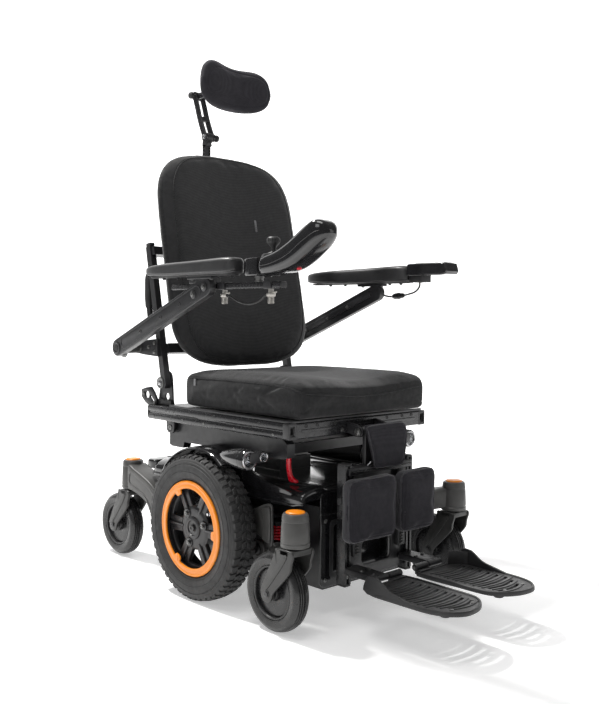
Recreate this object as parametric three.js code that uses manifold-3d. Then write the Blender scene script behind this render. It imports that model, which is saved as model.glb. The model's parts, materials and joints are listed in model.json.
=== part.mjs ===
// Power wheelchair with mid-wheel drive: base on six wheels, telescopic seat
// lift, tilting seat, reclining back, headrest, flip-up arms, joystick and
// centre-mounted elevating legrest. Millimetres, +Z up, +X to the occupant's
// left, -Y to the front. Shapes are laid out about the drive axle at Y = 0 and
// the whole group is shifted by Y_SHIFT so that the origin is the bottom centre
// of the object's box.
import * as THREE from 'three';
import { mergeVertices } from 'three/addons/utils/BufferGeometryUtils.js';
import Module from 'manifold-3d';

const wasm = await Module();
wasm.setup();

// ---- driving dimensions -------------------------------------------------
const Y_SHIFT = 60;
const WHEEL_SEG = 32;
const DRIVE_R = 178;          // 14 inch drive tyre
const DRIVE_X0 = 232;         // tyre inner face
const DRIVE_X1 = 308;         // tyre outer face
const CASTER_R = 89;          // 7 inch caster
const CASTER_HALF = 22;
const TRAIL = 56;
const FRONT_STEM = [280, -351];
const REAR_STEM = [190, 426];
const FRONT_PIVOT = [-140, 140];   // Y, Z of the front arm pivot
const REAR_PIVOT = [256, 108];     // Y, Z of the rear arm pivot
const TILT_PIVOT = [205, 398];
const RECLINE_PIVOT = [232, 515];
const ARM_PIVOT = [324, 607];
const ARM_FRONT = [-60, 762];
const LEG_PIVOT = [-322, 425];
const FOOT_PIVOT = [-432, 112];
const CALF_PIVOT = [-372, 264];
const STEM_Y = 338;                // headrest stem
const HR1 = [328, 1207];           // headrest's lower and upper pivots, Y, Z
const HR2 = [376, 1331];
const BACK_ANGLE = 11.5;           // degrees from upright
const BACK_BASE = [125, 562];      // Y, Z of the foot of the back cushion's front
const BACK_LENGTH = 596;
const BACK_HALF = 243;
const SEAT_HALF = 225;
const RAIL_X0 = 216, RAIL_X1 = 240;
const RAIL_Z0 = 417, RAIL_Z1 = 454;
const GAP = 0.3;

// ---- helpers ------------------------------------------------------------
const D = Math.PI / 180;
const rotX = a => new THREE.Matrix4().makeRotationX(a * D);
const rotZ = a => new THREE.Matrix4().makeRotationZ(a * D);
const move = (x, y, z) => new THREE.Matrix4().makeTranslation(x, y, z);

function solid(geometry, ...matrices) {
  let g = geometry.index ? geometry.clone() : geometry.clone();
  for (const m of matrices) g.applyMatrix4(m);
  g.deleteAttribute('normal');
  g.deleteAttribute('uv');
  g = mergeVertices(g, 1e-3);
  const p = g.attributes.position.array;
  const src = g.index.array;
  const tri = [];
  let vol = 0;
  for (let i = 0; i < src.length; i += 3) {
    const [a, b, c] = [src[i], src[i + 1], src[i + 2]];
    if (a === b || b === c || a === c) continue;
    tri.push(a, b, c);
    vol += p[3 * a] * (p[3 * b + 1] * p[3 * c + 2] - p[3 * b + 2] * p[3 * c + 1])
      - p[3 * a + 1] * (p[3 * b] * p[3 * c + 2] - p[3 * b + 2] * p[3 * c])
      + p[3 * a + 2] * (p[3 * b] * p[3 * c + 1] - p[3 * b + 1] * p[3 * c]);
  }
  if (vol < 0) for (let i = 0; i < tri.length; i += 3) [tri[i], tri[i + 1]] = [tri[i + 1], tri[i]];
  return new wasm.Manifold(new wasm.Mesh({
    numProp: 3, vertProperties: new Float32Array(p), triVerts: new Uint32Array(tri) }));
}
const join = (...s) => s.reduce((a, b) => a.add(b));
const cut = (s, ...t) => t.reduce((a, b) => a.subtract(b), s);

const box = (x0, x1, y0, y1, z0, z1, ...m) =>
  solid(new THREE.BoxGeometry(x1 - x0, y1 - y0, z1 - z0),
    move((x0 + x1) / 2, (y0 + y1) / 2, (z0 + z1) / 2), ...m);

// closed outline of 2-D points -> solid between two planes across an axis
function prism(axis, pts, a0, a1, holes = [], ...m) {
  const shape = new THREE.Shape(pts.map(p => new THREE.Vector2(p[0], p[1])));
  for (const h of holes) shape.holes.push(new THREE.Path(h.map(p => new THREE.Vector2(p[0], p[1]))));
  const g = new THREE.ExtrudeGeometry(shape, { depth: a1 - a0, bevelEnabled: false, steps: 1 });
  const b = new THREE.Matrix4();
  if (axis === 'x') b.makeBasis(new THREE.Vector3(0, 1, 0), new THREE.Vector3(0, 0, 1), new THREE.Vector3(1, 0, 0)).setPosition(a0, 0, 0);
  if (axis === 'y') b.makeBasis(new THREE.Vector3(1, 0, 0), new THREE.Vector3(0, 0, 1), new THREE.Vector3(0, -1, 0)).setPosition(0, a1, 0);
  if (axis === 'z') b.setPosition(0, 0, a0);
  return solid(g, b, ...m);
}
// outline of a rectangle with round corners
function rrect(x0, x1, y0, y1, r, n = 3) {
  const pts = [];
  const c = [[x1 - r, y1 - r, 0], [x0 + r, y1 - r, 90], [x0 + r, y0 + r, 180], [x1 - r, y0 + r, 270]];
  for (const [cx, cy, a] of c)
    for (let i = 0; i <= n; i++) {
      const t = (a + 90 * i / n) * D;
      pts.push([cx + r * Math.cos(t), cy + r * Math.sin(t)]);
    }
  return pts;
}
// outline of a bar with round ends between two points
function stadium(p, q, r, n = 6) {
  const a = Math.atan2(q[1] - p[1], q[0] - p[0]);
  const pts = [];
  for (let i = 0; i <= n; i++) pts.push([q[0] + r * Math.cos(a - Math.PI / 2 + Math.PI * i / n), q[1] + r * Math.sin(a - Math.PI / 2 + Math.PI * i / n)]);
  for (let i = 0; i <= n; i++) pts.push([p[0] + r * Math.cos(a + Math.PI / 2 + Math.PI * i / n), p[1] + r * Math.sin(a + Math.PI / 2 + Math.PI * i / n)]);
  return pts;
}
const turnX = new THREE.Matrix4().makeRotationZ(-Math.PI / 2);  // Y axis -> X axis
const turnZ = new THREE.Matrix4().makeRotationX(Math.PI / 2);   // Y axis -> Z axis
function cyl(axis, r, a0, a1, c1, c2, seg = 12, r1 = r) {
  const g = new THREE.CylinderGeometry(r1, r, a1 - a0, seg);
  const mid = (a0 + a1) / 2;
  if (axis === 'x') return solid(g, turnX, move(mid, c1, c2));
  if (axis === 'z') return solid(g, turnZ, move(c1, c2, mid));
  return solid(g, move(c1, mid, c2));
}
// profile of [radius, height] turned about an axis
function turned(axis, pts, cx, cy, cz, seg = 16, start = 0) {
  const g = new THREE.LatheGeometry(pts.map(p => new THREE.Vector2(p[0], p[1])), seg, start);
  if (axis === 'x') return solid(g, turnX, move(cx, cy, cz));
  if (axis === 'z') return solid(g, turnZ, move(cx, cy, cz));
  return solid(g, move(cx, cy, cz));
}
const closed = pts => [...pts, pts[0]];
// round bar along a curve through points
function rod(points, r, seg = 8, steps = 16) {
  const curve = new THREE.CatmullRomCurve3(points.map(p => new THREE.Vector3(...p)), false, 'centripetal');
  const shape = new THREE.Shape(Array.from({ length: seg }, (_, i) => new THREE.Vector2(r * Math.cos(2 * Math.PI * i / seg), r * Math.sin(2 * Math.PI * i / seg))));
  return solid(new THREE.ExtrudeGeometry(shape, { steps, extrudePath: curve, bevelEnabled: false }));
}
// skin through rings of points, ends closed
function loft(rings) {
  const n = rings[0].length;
  const pos = [];
  const idx = [];
  rings.forEach(r => r.forEach(p => pos.push(...p)));
  for (let k = 0; k + 1 < rings.length; k++)
    for (let i = 0; i < n; i++) {
      const a = k * n + i, b = k * n + (i + 1) % n;
      idx.push(a, b, b + n, a, b + n, a + n);
    }
  for (const k of [0, rings.length - 1]) {
    const c = [0, 1, 2].map(j => rings[k].reduce((s, p) => s + p[j], 0) / n);
    const ci = pos.length / 3;
    pos.push(...c);
    for (let i = 0; i < n; i++) {
      const a = k * n + i, b = k * n + (i + 1) % n;
      k === 0 ? idx.push(b, a, ci) : idx.push(a, b, ci);
    }
  }
  const g = new THREE.BufferGeometry();
  g.setAttribute('position', new THREE.Float32BufferAttribute(pos, 3));
  g.setIndex(idx);
  return solid(g);
}

const group = new THREE.Group();
group.name = 'power_wheelchair';
const BLACK_PAINT = [0x17181a, 0.45, 0.55];
const GLOSS = [0x0b0b0c, 0.15, 0.1];
const GREY = [0x4a4a49, 0.5, 0.3];
const RUBBER = [0x1b1b1c, 0.85, 0.0];
const FABRIC = [0x2b2b2d, 0.95, 0.0];
const ORANGE = [0xff8a12, 0.35, 0.0];
const RED = [0xc4122a, 0.35, 0.1];
const STEEL = [0x9a9da0, 0.3, 0.9];
function add(name, body, [color, roughness, metalness], mirrored = false) {
  const m = body.getMesh();
  const g = new THREE.BufferGeometry();
  const np = m.numProp, nv = m.vertProperties.length / np;
  const p = new Float32Array(nv * 3);
  for (let i = 0; i < nv; i++) for (let j = 0; j < 3; j++) p[3 * i + j] = m.vertProperties[np * i + j];
  g.setAttribute('position', new THREE.BufferAttribute(p, 3));
  g.setIndex(new THREE.BufferAttribute(new Uint32Array(m.triVerts), 1));
  g.computeVertexNormals();
  const mesh = new THREE.Mesh(g, new THREE.MeshStandardMaterial({ color, roughness, metalness }));
  mesh.name = name;
  if (mirrored) mesh.scale.x = -1;
  group.add(mesh);
}
function pair(name, body, look) {
  add(`${name}_left`, body, look);
  add(`${name}_right`, body, look, true);
}

// ---- chassis --------------------------------------------------------------
{
  const hub = (y, z, x1, r) => cyl('x', r, 130, x1, y, z);
  let f = cut(box(-135, 135, -290, 266, 60, 252),
    box(-129, 129, -284, -60, 67, 300), box(-60, 60, -54, 54, 66, 300),
    box(-129, 129, 60, 260, 67, 300));
  const side = join(
    hub(FRONT_PIVOT[0], FRONT_PIVOT[1], 214, 10),
    hub(REAR_PIVOT[0], REAR_PIVOT[1], 222, 10),
    prism('x', [[-212, 214], [-170, 214], [-120, 214], [-120, 180], [-170, 206.5], [-212, 206.5]], 130, 148),
    box(130, 208, -212, -166, 206.5, 214));
  const other = join(
    cyl('x', 10, -214, -130, FRONT_PIVOT[0], FRONT_PIVOT[1]),
    cyl('x', 10, -222, -130, REAR_PIVOT[0], REAR_PIVOT[1]),
    prism('x', [[-212, 214], [-170, 214], [-120, 214], [-120, 180], [-170, 206.5], [-212, 206.5]], -148, -130),
    box(-208, -130, -212, -166, 206.5, 214));
  add('chassis_frame', join(f, side, other), BLACK_PAINT);
}
add('battery_front', join(box(-126, 126, -281, -63, 67.3, 250), prism('z', rrect(-40, 40, -200, -150, 6), 249, 254)), [0x2a2a2c, 0.6, 0]);
add('battery_rear', join(box(-126, 126, 63, 257, 67.3, 250), prism('z', rrect(-40, 40, 100, 150, 6), 249, 254)), [0x2a2a2c, 0.6, 0]);
add('control_module', join(prism('z', rrect(-80, 80, 156, 246, 8), 254.5, 292), box(-60, 60, 150, 158, 262, 284)), GLOSS);

// cover over the base, with a guard over each drive wheel
{
  const outer = [[-212, 264], [-212, 283], [-196, 297], [-150, 305], [150, 305], [196, 297], [212, 283], [212, 264]];
  const inner = [[-208, 255], [-208, 281], [-194, 293], [-149, 301], [149, 301], [194, 293], [208, 281], [208, 255]];
  let s = prism('y', outer, -294, 300);
  s = s.add(box(-150, 150, -298, -290.5, 66, 290));
  s = cut(s, prism('y', inner, -290.5, 296));
  s = cut(s, box(-62, 62, -58, 58, 200, 400));
  s = s.add(prism('z', [...rrect(-208, 208, 292, 340, 22)], 272, 299));
  s = cut(s, prism('z', [...rrect(-203, 203, 280, 335, 18, 3)], 260, 294));
  for (const sgn of [1, -1]) {
    const arc = [];
    for (let i = 0; i <= 12; i++) { const t = (38 + 82 * i / 12) * D; arc.push([196 * Math.cos(t), 178 + 196 * Math.sin(t)]); }
    const back = [];
    for (let i = 12; i >= 0; i--) { const t = (38 + 82 * i / 12) * D; back.push([191 * Math.cos(t), 178 + 191 * Math.sin(t)]); }
    const web = [...arc, [-98, 268], [154, 268]];
    const [w0, w1] = sgn > 0 ? [208.5, 226] : [-226, -208.5];
    const [g0, g1] = sgn > 0 ? [222, 284] : [-284, -222];
    s = join(s, prism('x', web, w0, w1), prism('x', [...arc, ...back], g0, g1));
  }
  add('base_shroud', s, GLOSS);
}

// drive motors with gearboxes and the fin in front of the tyre
{
  let m = join(
    prism('x', rrect(-55, 55, 123, 233, 18), 140, 226),
    cyl('y', 42, 50, 226, 185, 178),
    cyl('y', 30, 225, 231, 185, 178),
    cyl('x', 30, 225, 228.4, 0, 178),
    prism('x', [[-50, 165], [-120, 190], [-185, 168], [-203, 158], [-209, 175], [-207, 255], [-190, 259], [-120, 228], [-50, 225]], 214, 226));
  pair('drive_motor', m, [0x202123, 0.5, 0.5]);
}

// drive wheels
{
  const z = DRIVE_R, t = DRIVE_R / Math.cos(Math.PI / WHEEL_SEG);   // flats touch the floor
  const tyre = turned('x', closed([[118, 240], [154, DRIVE_X0 + 1], [t, 252], [t, 288], [154, DRIVE_X1], [118, 300]]), 0, 0, z, WHEEL_SEG, Math.PI / WHEEL_SEG);
  pair('drive_tyre', tyre, RUBBER);
  let hub = turned('x', closed([[117.5, 242], [105, 242], [105, 299.6], [117.5, 299.6]]), 0, 0, z, WHEEL_SEG, Math.PI / WHEEL_SEG);
  let disc = turned('x', [[0, 274], [106, 274], [106, 288], [0, 288]], 0, 0, z, WHEEL_SEG, Math.PI / WHEEL_SEG);
  for (let k = 0; k < 6; k++) {
    const a = 29 + 60 * k;
    const hole = [];
    for (let i = 0; i <= 2; i++) { const t = (a - 17 + 34 * i / 2) * D; hole.push([92 * Math.cos(t), z + 92 * Math.sin(t)]); }
    hole.push([50 * Math.cos((a + 8) * D), z + 50 * Math.sin((a + 8) * D)]);
    hole.push([50 * Math.cos((a - 8) * D), z + 50 * Math.sin((a - 8) * D)]);
    disc = cut(disc, prism('x', hole, 260, 300));
  }
  hub = join(hub, disc, cyl('x', 40, 229, 291, 0, z), cyl('x', 55, 262, 276, 0, z));
  for (const a of [164, 52, -67]) hub = hub.add(cyl('x', 7, 288, 297, 41 * Math.cos(a * D), z + 41 * Math.sin(a * D), 6));
  pair('drive_hub', hub, BLACK_PAINT);
  let ring = turned('x', closed([[100, 300], [116.5, 300], [116.5, 306], [100, 306]]), 0, 0, z, WHEEL_SEG, Math.PI / WHEEL_SEG);
  for (const a of [119, -1, -121]) {
    const t = (180 - a) * D, c = Math.cos(t), s = Math.sin(t);
    const at = (r, w) => [r * c - w * s, z + r * s + w * c];
    ring = ring.add(prism('x', [at(86, -9), at(86, 9), at(104, 14), at(104, -14)], 300, 305.5));
  }
  pair('rim_ring', ring, ORANGE);
}

// casters: arm, fork and wheel
function casterFork(sx, sy, stemTop) {
  const legs = [];
  for (const [x0, x1] of [[26, 33], [-33, -26]])
    legs.push(prism('x', [[sy - 24, 197], [sy + 24, 197], [sy + TRAIL + 17, 102], [sy + TRAIL + 17, 80], [sy + TRAIL + 6, 70], [sy + TRAIL - 8, 70], [sy + TRAIL - 16, 80], [sy - 20, 172]], sx + x0, sx + x1));
  return join(
    prism('z', rrect(sx - 33, sx + 33, sy - 25, sy + 25, 10, 1), 184, 197),
    ...legs,
    cyl('z', 12, 196, stemTop, sx, sy),
    cyl('x', 6, sx - 36, sx + 36, sy + TRAIL, CASTER_R));
}
function casterWheel(sx, sy) {
  const h = CASTER_HALF, r = CASTER_R / Math.cos(Math.PI / 20);
  return turned('x', closed([[6.6, -18], [16, -18], [70, -h], [r, -10], [r, 10], [70, h], [16, 18], [6.6, 18]]), sx, sy + TRAIL, CASTER_R, 20, Math.PI / 20);
}
// rectangular ring across a plan path: centre x, y, z, heading in plan, half width, half height
function section(x, y, z, hx, hy, w, h) {
  const l = Math.hypot(hx, hy), nx = -hy / l, ny = hx / l, c = 0.35;
  const out = [];
  for (const [u, v] of [[-1, -1 + c], [-1 + c, -1], [1 - c, -1], [1, -1 + c], [1, 1 - c], [1 - c, 1], [-1 + c, 1], [-1, 1 - c]])
    out.push([x + nx * w * u, y + ny * w * u, z + h * v]);
  return out;
}
{
  const [sx, sy] = FRONT_STEM;
  let arm = join(
    loft([section(178, -136, 140, 0, -1, 21, 21), section(180, -222, 141, 0, -1, 20, 21),
      section(189, -250, 172, 0.35, -1, 20, 23), section(204, -276, 204, 0.6, -1, 21, 22),
      section(240, -314, 226, 0.9, -0.9, 22, 26), section(278, -349, 232, 0.9, -0.9, 22, 29)]),
    cyl('x', 22, 150, 206, FRONT_PIVOT[0], FRONT_PIVOT[1]),
    cyl('z', 15, 158, 166, 188, -190),
    cyl('z', 32, 199, 273, sx, sy, 16, 28));
  arm = cut(arm, cyl('x', 10.5, 140, 230, FRONT_PIVOT[0], FRONT_PIVOT[1]),
    cyl('z', 12.6, 150, 264, sx, sy));
  pair('front_arm', arm, GREY);
  pair('front_fork', casterFork(sx, sy, 262), BLACK_PAINT);
  pair('front_caster_wheel', casterWheel(sx, sy), RUBBER);
  pair('front_spring', turned('z', closed([[11, 0], [19, 0], [19, 39.6], [11, 39.6]]), 188, -190, 166.4), RED);
}
{
  const [sx, sy] = REAR_STEM;
  const side = [[238, 76], [236, 130], [244, 178], [268, 216], [310, 240], [372, 262], [400, 272],
    [410, 205], [384, 200], [356, 193], [338, 188], [314, 176], [298, 155], [286, 134], [277, 104], [272, 76], [262, 68], [250, 68]];
  let arm = join(prism('x', side, 160, 222), cyl('x', 20, 140, 224, REAR_PIVOT[0], REAR_PIVOT[1]),
    cyl('z', 32, 201, 282, sx, sy, 16, 28));
  arm = cut(arm, cyl('x', 10.5, 130, 240, REAR_PIVOT[0], REAR_PIVOT[1]), cyl('z', 12.6, 150, 272, sx, sy));
  pair('rear_arm', arm, GREY);
  pair('rear_fork', casterFork(sx, sy, 270), BLACK_PAINT);
  pair('rear_caster_wheel', casterWheel(sx, sy), RUBBER);
}

// ---- lift -------------------------------------------------------------------
add('lift_outer', cut(box(-55, 55, -50, 50, 66.4, 330), box(-50, 50, -45, 45, 72, 400)), BLACK_PAINT);
add('lift_mid', cut(box(-49.5, 49.5, -44.5, 44.5, 90, 356), box(-45, 45, -40, 40, 80, 400)), STEEL);
{
  let c = join(
    box(-44.5, 44.5, -39.5, 39.5, 95, 372),
    box(-190, 190, -70, 70, 366, 380),
    box(-190, 190, -199, -185, 368, 392),
    box(-190, 190, 150, 180, 366, 390));
  for (const s of [1, -1]) {
    const X = (a, b) => s > 0 ? [a, b] : [-b, -a];
    c = join(c,
      prism('x', [[-240, 368], [-240, 400], [-225, 410], [218, 410], [226, 400], [226, 350], [214, 346], [165, 346], [160, 362], [-225, 364]], ...X(180, 204)),
      cyl('x', 8, ...X(200, 214.5), TILT_PIVOT[0], TILT_PIVOT[1]),
      box(...X(200, 262), -186, -166, 361, 373));
  }
  c = c.add(cyl('x', 4, -181, -175.4, -216, 380, 12));
  add('lift_carriage', c, BLACK_PAINT);
}
{
  let lamp = join(
    turned('y', [[0, 0], [20, 0], [23, 4], [24, 14], [24, 34], [19, 66], [12, 96], [6, 104], [0, 104]], 283, -202, 367, 12),
    turned('y', [[0, 0], [12, 0], [13.5, 3], [13.5, 14], [9, 19.5], [0, 20]], 244, -206, 371, 10));
  lamp = join(lamp, box(236, 284, -203, -193, 360, 384));
  lamp = cut(lamp, box(196, 262.3, -186.3, -165.7, 355, 373.3));
  pair('headlight', lamp, BLACK_PAINT);
}
{
  let lever = join(
    prism('x', [[-221, 385], [-216, 345], [-223, 322], [-240, 314], [-240, 307], [-214, 307], [-206, 330], [-203, 352], [-206, 374], [-211, 385]], -174.5, -167.5),
    cyl('x', 8, -175, -167, -216, 380, 12));
  lever = cut(lever, cyl('x', 4.4, -190, -160, -216, 380, 12));
  add('release_lever', lever, RED);
}

// ---- seat -------------------------------------------------------------------
{
  let f = null;
  for (const s of [1, -1]) {
    const X = (a, b) => s > 0 ? [a, b] : [-b, -a];
    const rail = cut(prism('y', rrect(...X(RAIL_X0, RAIL_X1), RAIL_Z0, RAIL_Z1, 7, 1), -282, 280),
      box(...X(RAIL_X1 - 4, RAIL_X1 + 4), -290, 290, 432, 438));
    const side = join(rail,
      box(...X(207, 217), 202, 270, 440, 470),
      prism('x', [[202, 440], [270, 440], [262, 500], [250, 540], [238, 546], [222, 546], [208, 530]], ...X(206, 211)),
      cyl('x', 8, ...X(209, 227), RECLINE_PIVOT[0], RECLINE_PIVOT[1]),
      cut(prism('x', [[186, 425], [224, 425], [222, 390], [214, 383], [196, 383], [188, 390]], ...X(209, 217.5)),
        cyl('x', 8.5, ...X(200, 230), TILT_PIVOT[0], TILT_PIVOT[1])),
      prism('x', [[262, 448], [262, 470], [290, 501], [336, 492], [336, 470], [300, 448]], ...X(216, 222)));
    f = f ? f.add(side) : side;
  }
  f = join(f, box(-222, 222, -284, -262, 417, 454), box(-236, 236, -284, 195, 453, 460),
    box(-222, 222, 150, 172, 430, 454));
  for (const x of [-52, 44]) f = f.add(cut(
    prism('x', [[-280, 420], [-280, 448], [-316, 440], [-332, 434], [-334, 420], [-326, 413], [-312, 413]], x, x + 8),
    cyl('x', 6.4, x - 5, x + 13, LEG_PIVOT[0], LEG_PIVOT[1])));
  add('seat_frame', f, BLACK_PAINT);
}
{
  const c = 14;
  const ring = (y, z0, z1, w, k = 14) => [[-w + k, y, z0], [w - k, y, z0], [w, y, z0 + k], [w, y, z1 - k], [w - k * 2, y, z1], [0, y, z1 - 6], [-w + k * 2, y, z1], [-w, y, z1 - k], [-w, y, z0 + k]];
  add('seat_cushion', loft([ring(-306, 478, 526, 204), ring(-298, 465, 540, 217), ring(-272, 461, 553, 225), ring(-100, 461, 556, 225), ring(104, 461, 556, 225), ring(126, 463, 548, 223), ring(132, 474, 538, 216)]), FABRIC);
}

// ---- back: local frame with Y from the cushion's front, Z along the back ------
const back = [rotX(-BACK_ANGLE), move(0, BACK_BASE[0], BACK_BASE[1])];
{
  const p = (k, e, c) => rrect(-BACK_HALF + 3 + k, BACK_HALF - 3 - k, e, BACK_LENGTH - e, c, 4);
  const at = (pts, y) => pts.map(([x, z]) => { const v = new THREE.Vector3(x, y, z); back.forEach(m => v.applyMatrix4(m)); return v.toArray(); });
  add('back_cushion', loft([at(p(34, 12, 60), 0), at(p(0, 0, 74), 18), at(p(4, 2, 73), 30), at(p(46, 16, 56), 68)]), FABRIC);
}
{
  let s = prism('y', rrect(-184, 184, 30, 572, 60, 4), 68.4, 80, [], ...back);
  s = s.add(loft([0, 1].map(k => {
    const w = [160, 124][k], y = [79, 140][k], a = [150, 190][k], b = [462, 430][k];
    return rrect(-w, w, a, b, 40, 3).map(([x, z]) => { const v = new THREE.Vector3(x, y, z); back.forEach(m => v.applyMatrix4(m)); return v.toArray(); });
  })));
  add('back_shell', s, [0x1c1c1e, 0.6, 0]);
}
{
  let f = null;
  for (const s of [1, -1]) {
    const X = (a, b) => s > 0 ? [a, b] : [-b, -a];
    const b = s * 221;
    let side = join(
      prism('x', rrect(92, 112, -42, 350, 8, 1), ...X(212.4, 230), [], ...back),
      cyl('x', 15, ...X(212.4, 230), RECLINE_PIVOT[0], RECLINE_PIVOT[1]),
      prism('x', [[232, 585], [232, 632], [300, 626], [334, 622], [342, 607], [334, 592], [300, 588]], ...X(226, 240)),
      cyl('x', 16, ...X(238, 287.6), ARM_PIVOT[0], ARM_PIVOT[1]),
      cyl('x', 9, ...X(286, 305), ARM_PIVOT[0], ARM_PIVOT[1]),
      rod([[b, 284, 796], [b, 296, 803], [b, 302, 790], [b, 302, 740], [b, 294, 690]], 9, 6, 5),
      box(...X(168, 226), 80.4, 112, 318, 340, ...back));
    side = cut(side, cyl('x', 8.5, ...X(200, 240), RECLINE_PIVOT[0], RECLINE_PIVOT[1]));
    f = f ? f.add(side) : side;
  }
  f = join(f, box(-214, 214, 80.4, 112, 50, 76, ...back));
  f = join(f, box(-226, -200, 100, 112, 50, 76, ...back), box(200, 226, 100, 112, 50, 76, ...back));
  add('back_frame', f, BLACK_PAINT);
}

// ---- headrest ------------------------------------------------------------------
{
  // bracket on the shell's upper rear with a square upright socket for the stem
  const yr = z => BACK_BASE[0] + (z - BACK_BASE[1]) * Math.tan(BACK_ANGLE * D) + 80.5 / Math.cos(BACK_ANGLE * D);
  let m = join(prism('x', [[yr(1036), 1036], [yr(1096), 1096], [358, 1092], [358, 1036]], -20, 20),
    box(-34, 34, 80.4, 88, 490, 538, ...back), cyl('x', 9, 18, 36, 338, 1062, 10));
  m = cut(m, box(-9.6, 9.6, STEM_Y - 9.6, STEM_Y + 9.6, 1000, 1120));
  add('headrest_mount', m, BLACK_PAINT);
  let stem = join(box(-9, 9, STEM_Y - 9, STEM_Y + 9, 1006, 1192),
    prism('x', [[STEM_Y + 9, 1178], [STEM_Y + 9, 1198], [HR1[0] + 6, HR1[1] + 12], [HR1[0] - 9, HR1[1] - 9], [STEM_Y - 9, 1178]], -9, 9),
    cyl('x', 13, -9, 9, HR1[0], HR1[1], 14));
  stem = cut(stem, cyl('x', 5.4, -20, 20, HR1[0], HR1[1]));
  add('headrest_stem', stem, BLACK_PAINT);
  const link = (x0, x1) => prism('x', stadium(HR1, HR2, 12, 6), x0, x1);
  let l = join(link(10, 16), link(-16, -10), cyl('x', 5, -14, 14, HR1[0], HR1[1]),
    box(-14, 14, HR1[0] + 13, HR1[0] + 29, HR1[1] + 46, HR1[1] + 64),
    cyl('x', 10, 15, 32, HR1[0], HR1[1], 10), cyl('x', 10, -32, -15, HR2[0], HR2[1], 10));
  l = cut(l, cyl('x', 5.4, -50, 50, HR2[0], HR2[1]));
  add('headrest_link', l, BLACK_PAINT);
  // arm and pad: crescent pad in plan
  const rings = [];
  for (let i = 0; i <= 8; i++) {
    const t = (i / 8) * 2 - 1;
    const x = 126 * t;
    const yc = 222 - 26 * t * t;
    const k = Math.pow(Math.max(0, 1 - Math.pow(Math.abs(t), 5)), 0.5) * 0.6 + 0.4;
    const h = 62.5 * k, w = 24 * k;
    const slope = -2 * 26 * t / 126;
    const n = Math.hypot(1, slope);
    rings.push(Array.from({ length: 10 }, (_, j) => {
      const a = 2 * Math.PI * (j + 0.5) / 10;
      const cu = Math.sign(Math.cos(a)) * Math.pow(Math.abs(Math.cos(a)), 0.8) * w;
      const cz = Math.sign(Math.sin(a)) * Math.pow(Math.abs(Math.sin(a)), 0.6) * h;
      return [x - cu * slope / n, yc + cu / n, 1325.5 + cz];
    }));
  }
  let pad = join(loft(rings),
    box(-9, 9, 240, HR2[0], HR2[1] - 9, HR2[1] + 9),
    cyl('x', 12, -9.5, 9.5, HR2[0], HR2[1]), cyl('x', 5, -14, 14, HR2[0], HR2[1]),
    box(-30, 30, 236, 252, HR2[1] - 26, HR2[1] + 26));
  add('headrest_pad', pad, FABRIC);
}

// ---- arms ------------------------------------------------------------------------
{
  const arm = cut(prism('x', stadium(ARM_PIVOT, ARM_FRONT, 23, 8), 288, 308),
    cyl('x', 9.5, 270, 320, ARM_PIVOT[0], ARM_PIVOT[1]));
  pair('arm_link', arm, BLACK_PAINT);
}
function armPad(y0, y1, z0, z1) {
  const ring = (y, w, a, b) => rrect(296 - w, 296 + w, a, b, Math.min(8, (b - a) / 2 - 1), 2).map(([x, z]) => [x, y, z]);
  return loft([ring(y0, 18, z0 + 8, z1 - 6), ring(y0 + 14, 27, z0, z1), ring(y0 + 120, 30, z0, z1 - 4), ring(y1 - 120, 30, z0, z1 - 6), ring(y1 - 30, 25, z0 + 2, z1 - 10), ring(y1, 16, z0 + 8, z1 - 16)]);
}
add('arm_pad_right', armPad(-174, 184, 788, 830), [0x1d1d1f, 0.6, 0], true);
add('arm_pad_left', armPad(-187, 209, 788, 836), [0x1d1d1f, 0.6, 0]);

// joystick rail under the right pad, with two clamp levers
{
  let r = join(box(-282, -262, -300, 110, 757, 771),
    box(-286, -258, -62, 30, 771, 787.4),
    box(-287.6, -280, -60, 20, 757, 771));
  for (const y of [-257, -93]) r = join(r,
    cyl('z', 7, 722, 760, -272, y, 10), cyl('z', 10, 738, 746, -272, y, 10));
  add('joystick_rail', r, BLACK_PAINT);
}
{
  const prof = [[-236, 783.4], [-321, 787.5], [-362, 801], [-419, 838], [-447, 862], [-447, 880], [-436, 892], [-412, 899], [-380, 884], [-343, 860], [-300, 839], [-236, 824]];
  let p = cut(prism('x', prof, -305, -235), box(-400, -200, -236, -100, 700, 900));
  p = join(p, cut(cyl('z', 35, 783.4, 824, -270, -215, 20), box(-400, -200, -300, -237, 700, 900)),
    box(-305, -235, -240, -215, 783.4, 824), cyl('z', 11, 771.4, 784, -270, -215));
  // raise the joystick's seat
  p = p.add(cyl('z', 26, 820, 832, -270, -262));
  p = cut(p, cyl('z', 19, 812, 840, -270, -262));
  add('control_pod', p, GLOSS);
  add('joystick_boot', turned('z', [[0, -7], [10, -7], [15, -3], [15.5, 3], [13.5, 8], [10, 12], [5, 15], [0, 16]], -270, -262, 824, 12), RUBBER);
  add('joystick_knob', turned('z', [[0, 0], [5, 0], [6, 6], [13, 14], [15, 22], [12, 28], [0, 30]], -270, -262, 840.4, 12), RUBBER);
}
add('switch_box', join(box(272, 326, -318, -188, 804, 838), box(280, 318, -240, -188, 788, 806)).subtract(box(260, 340, -320, -260, 700, 806)), GLOSS);

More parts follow.
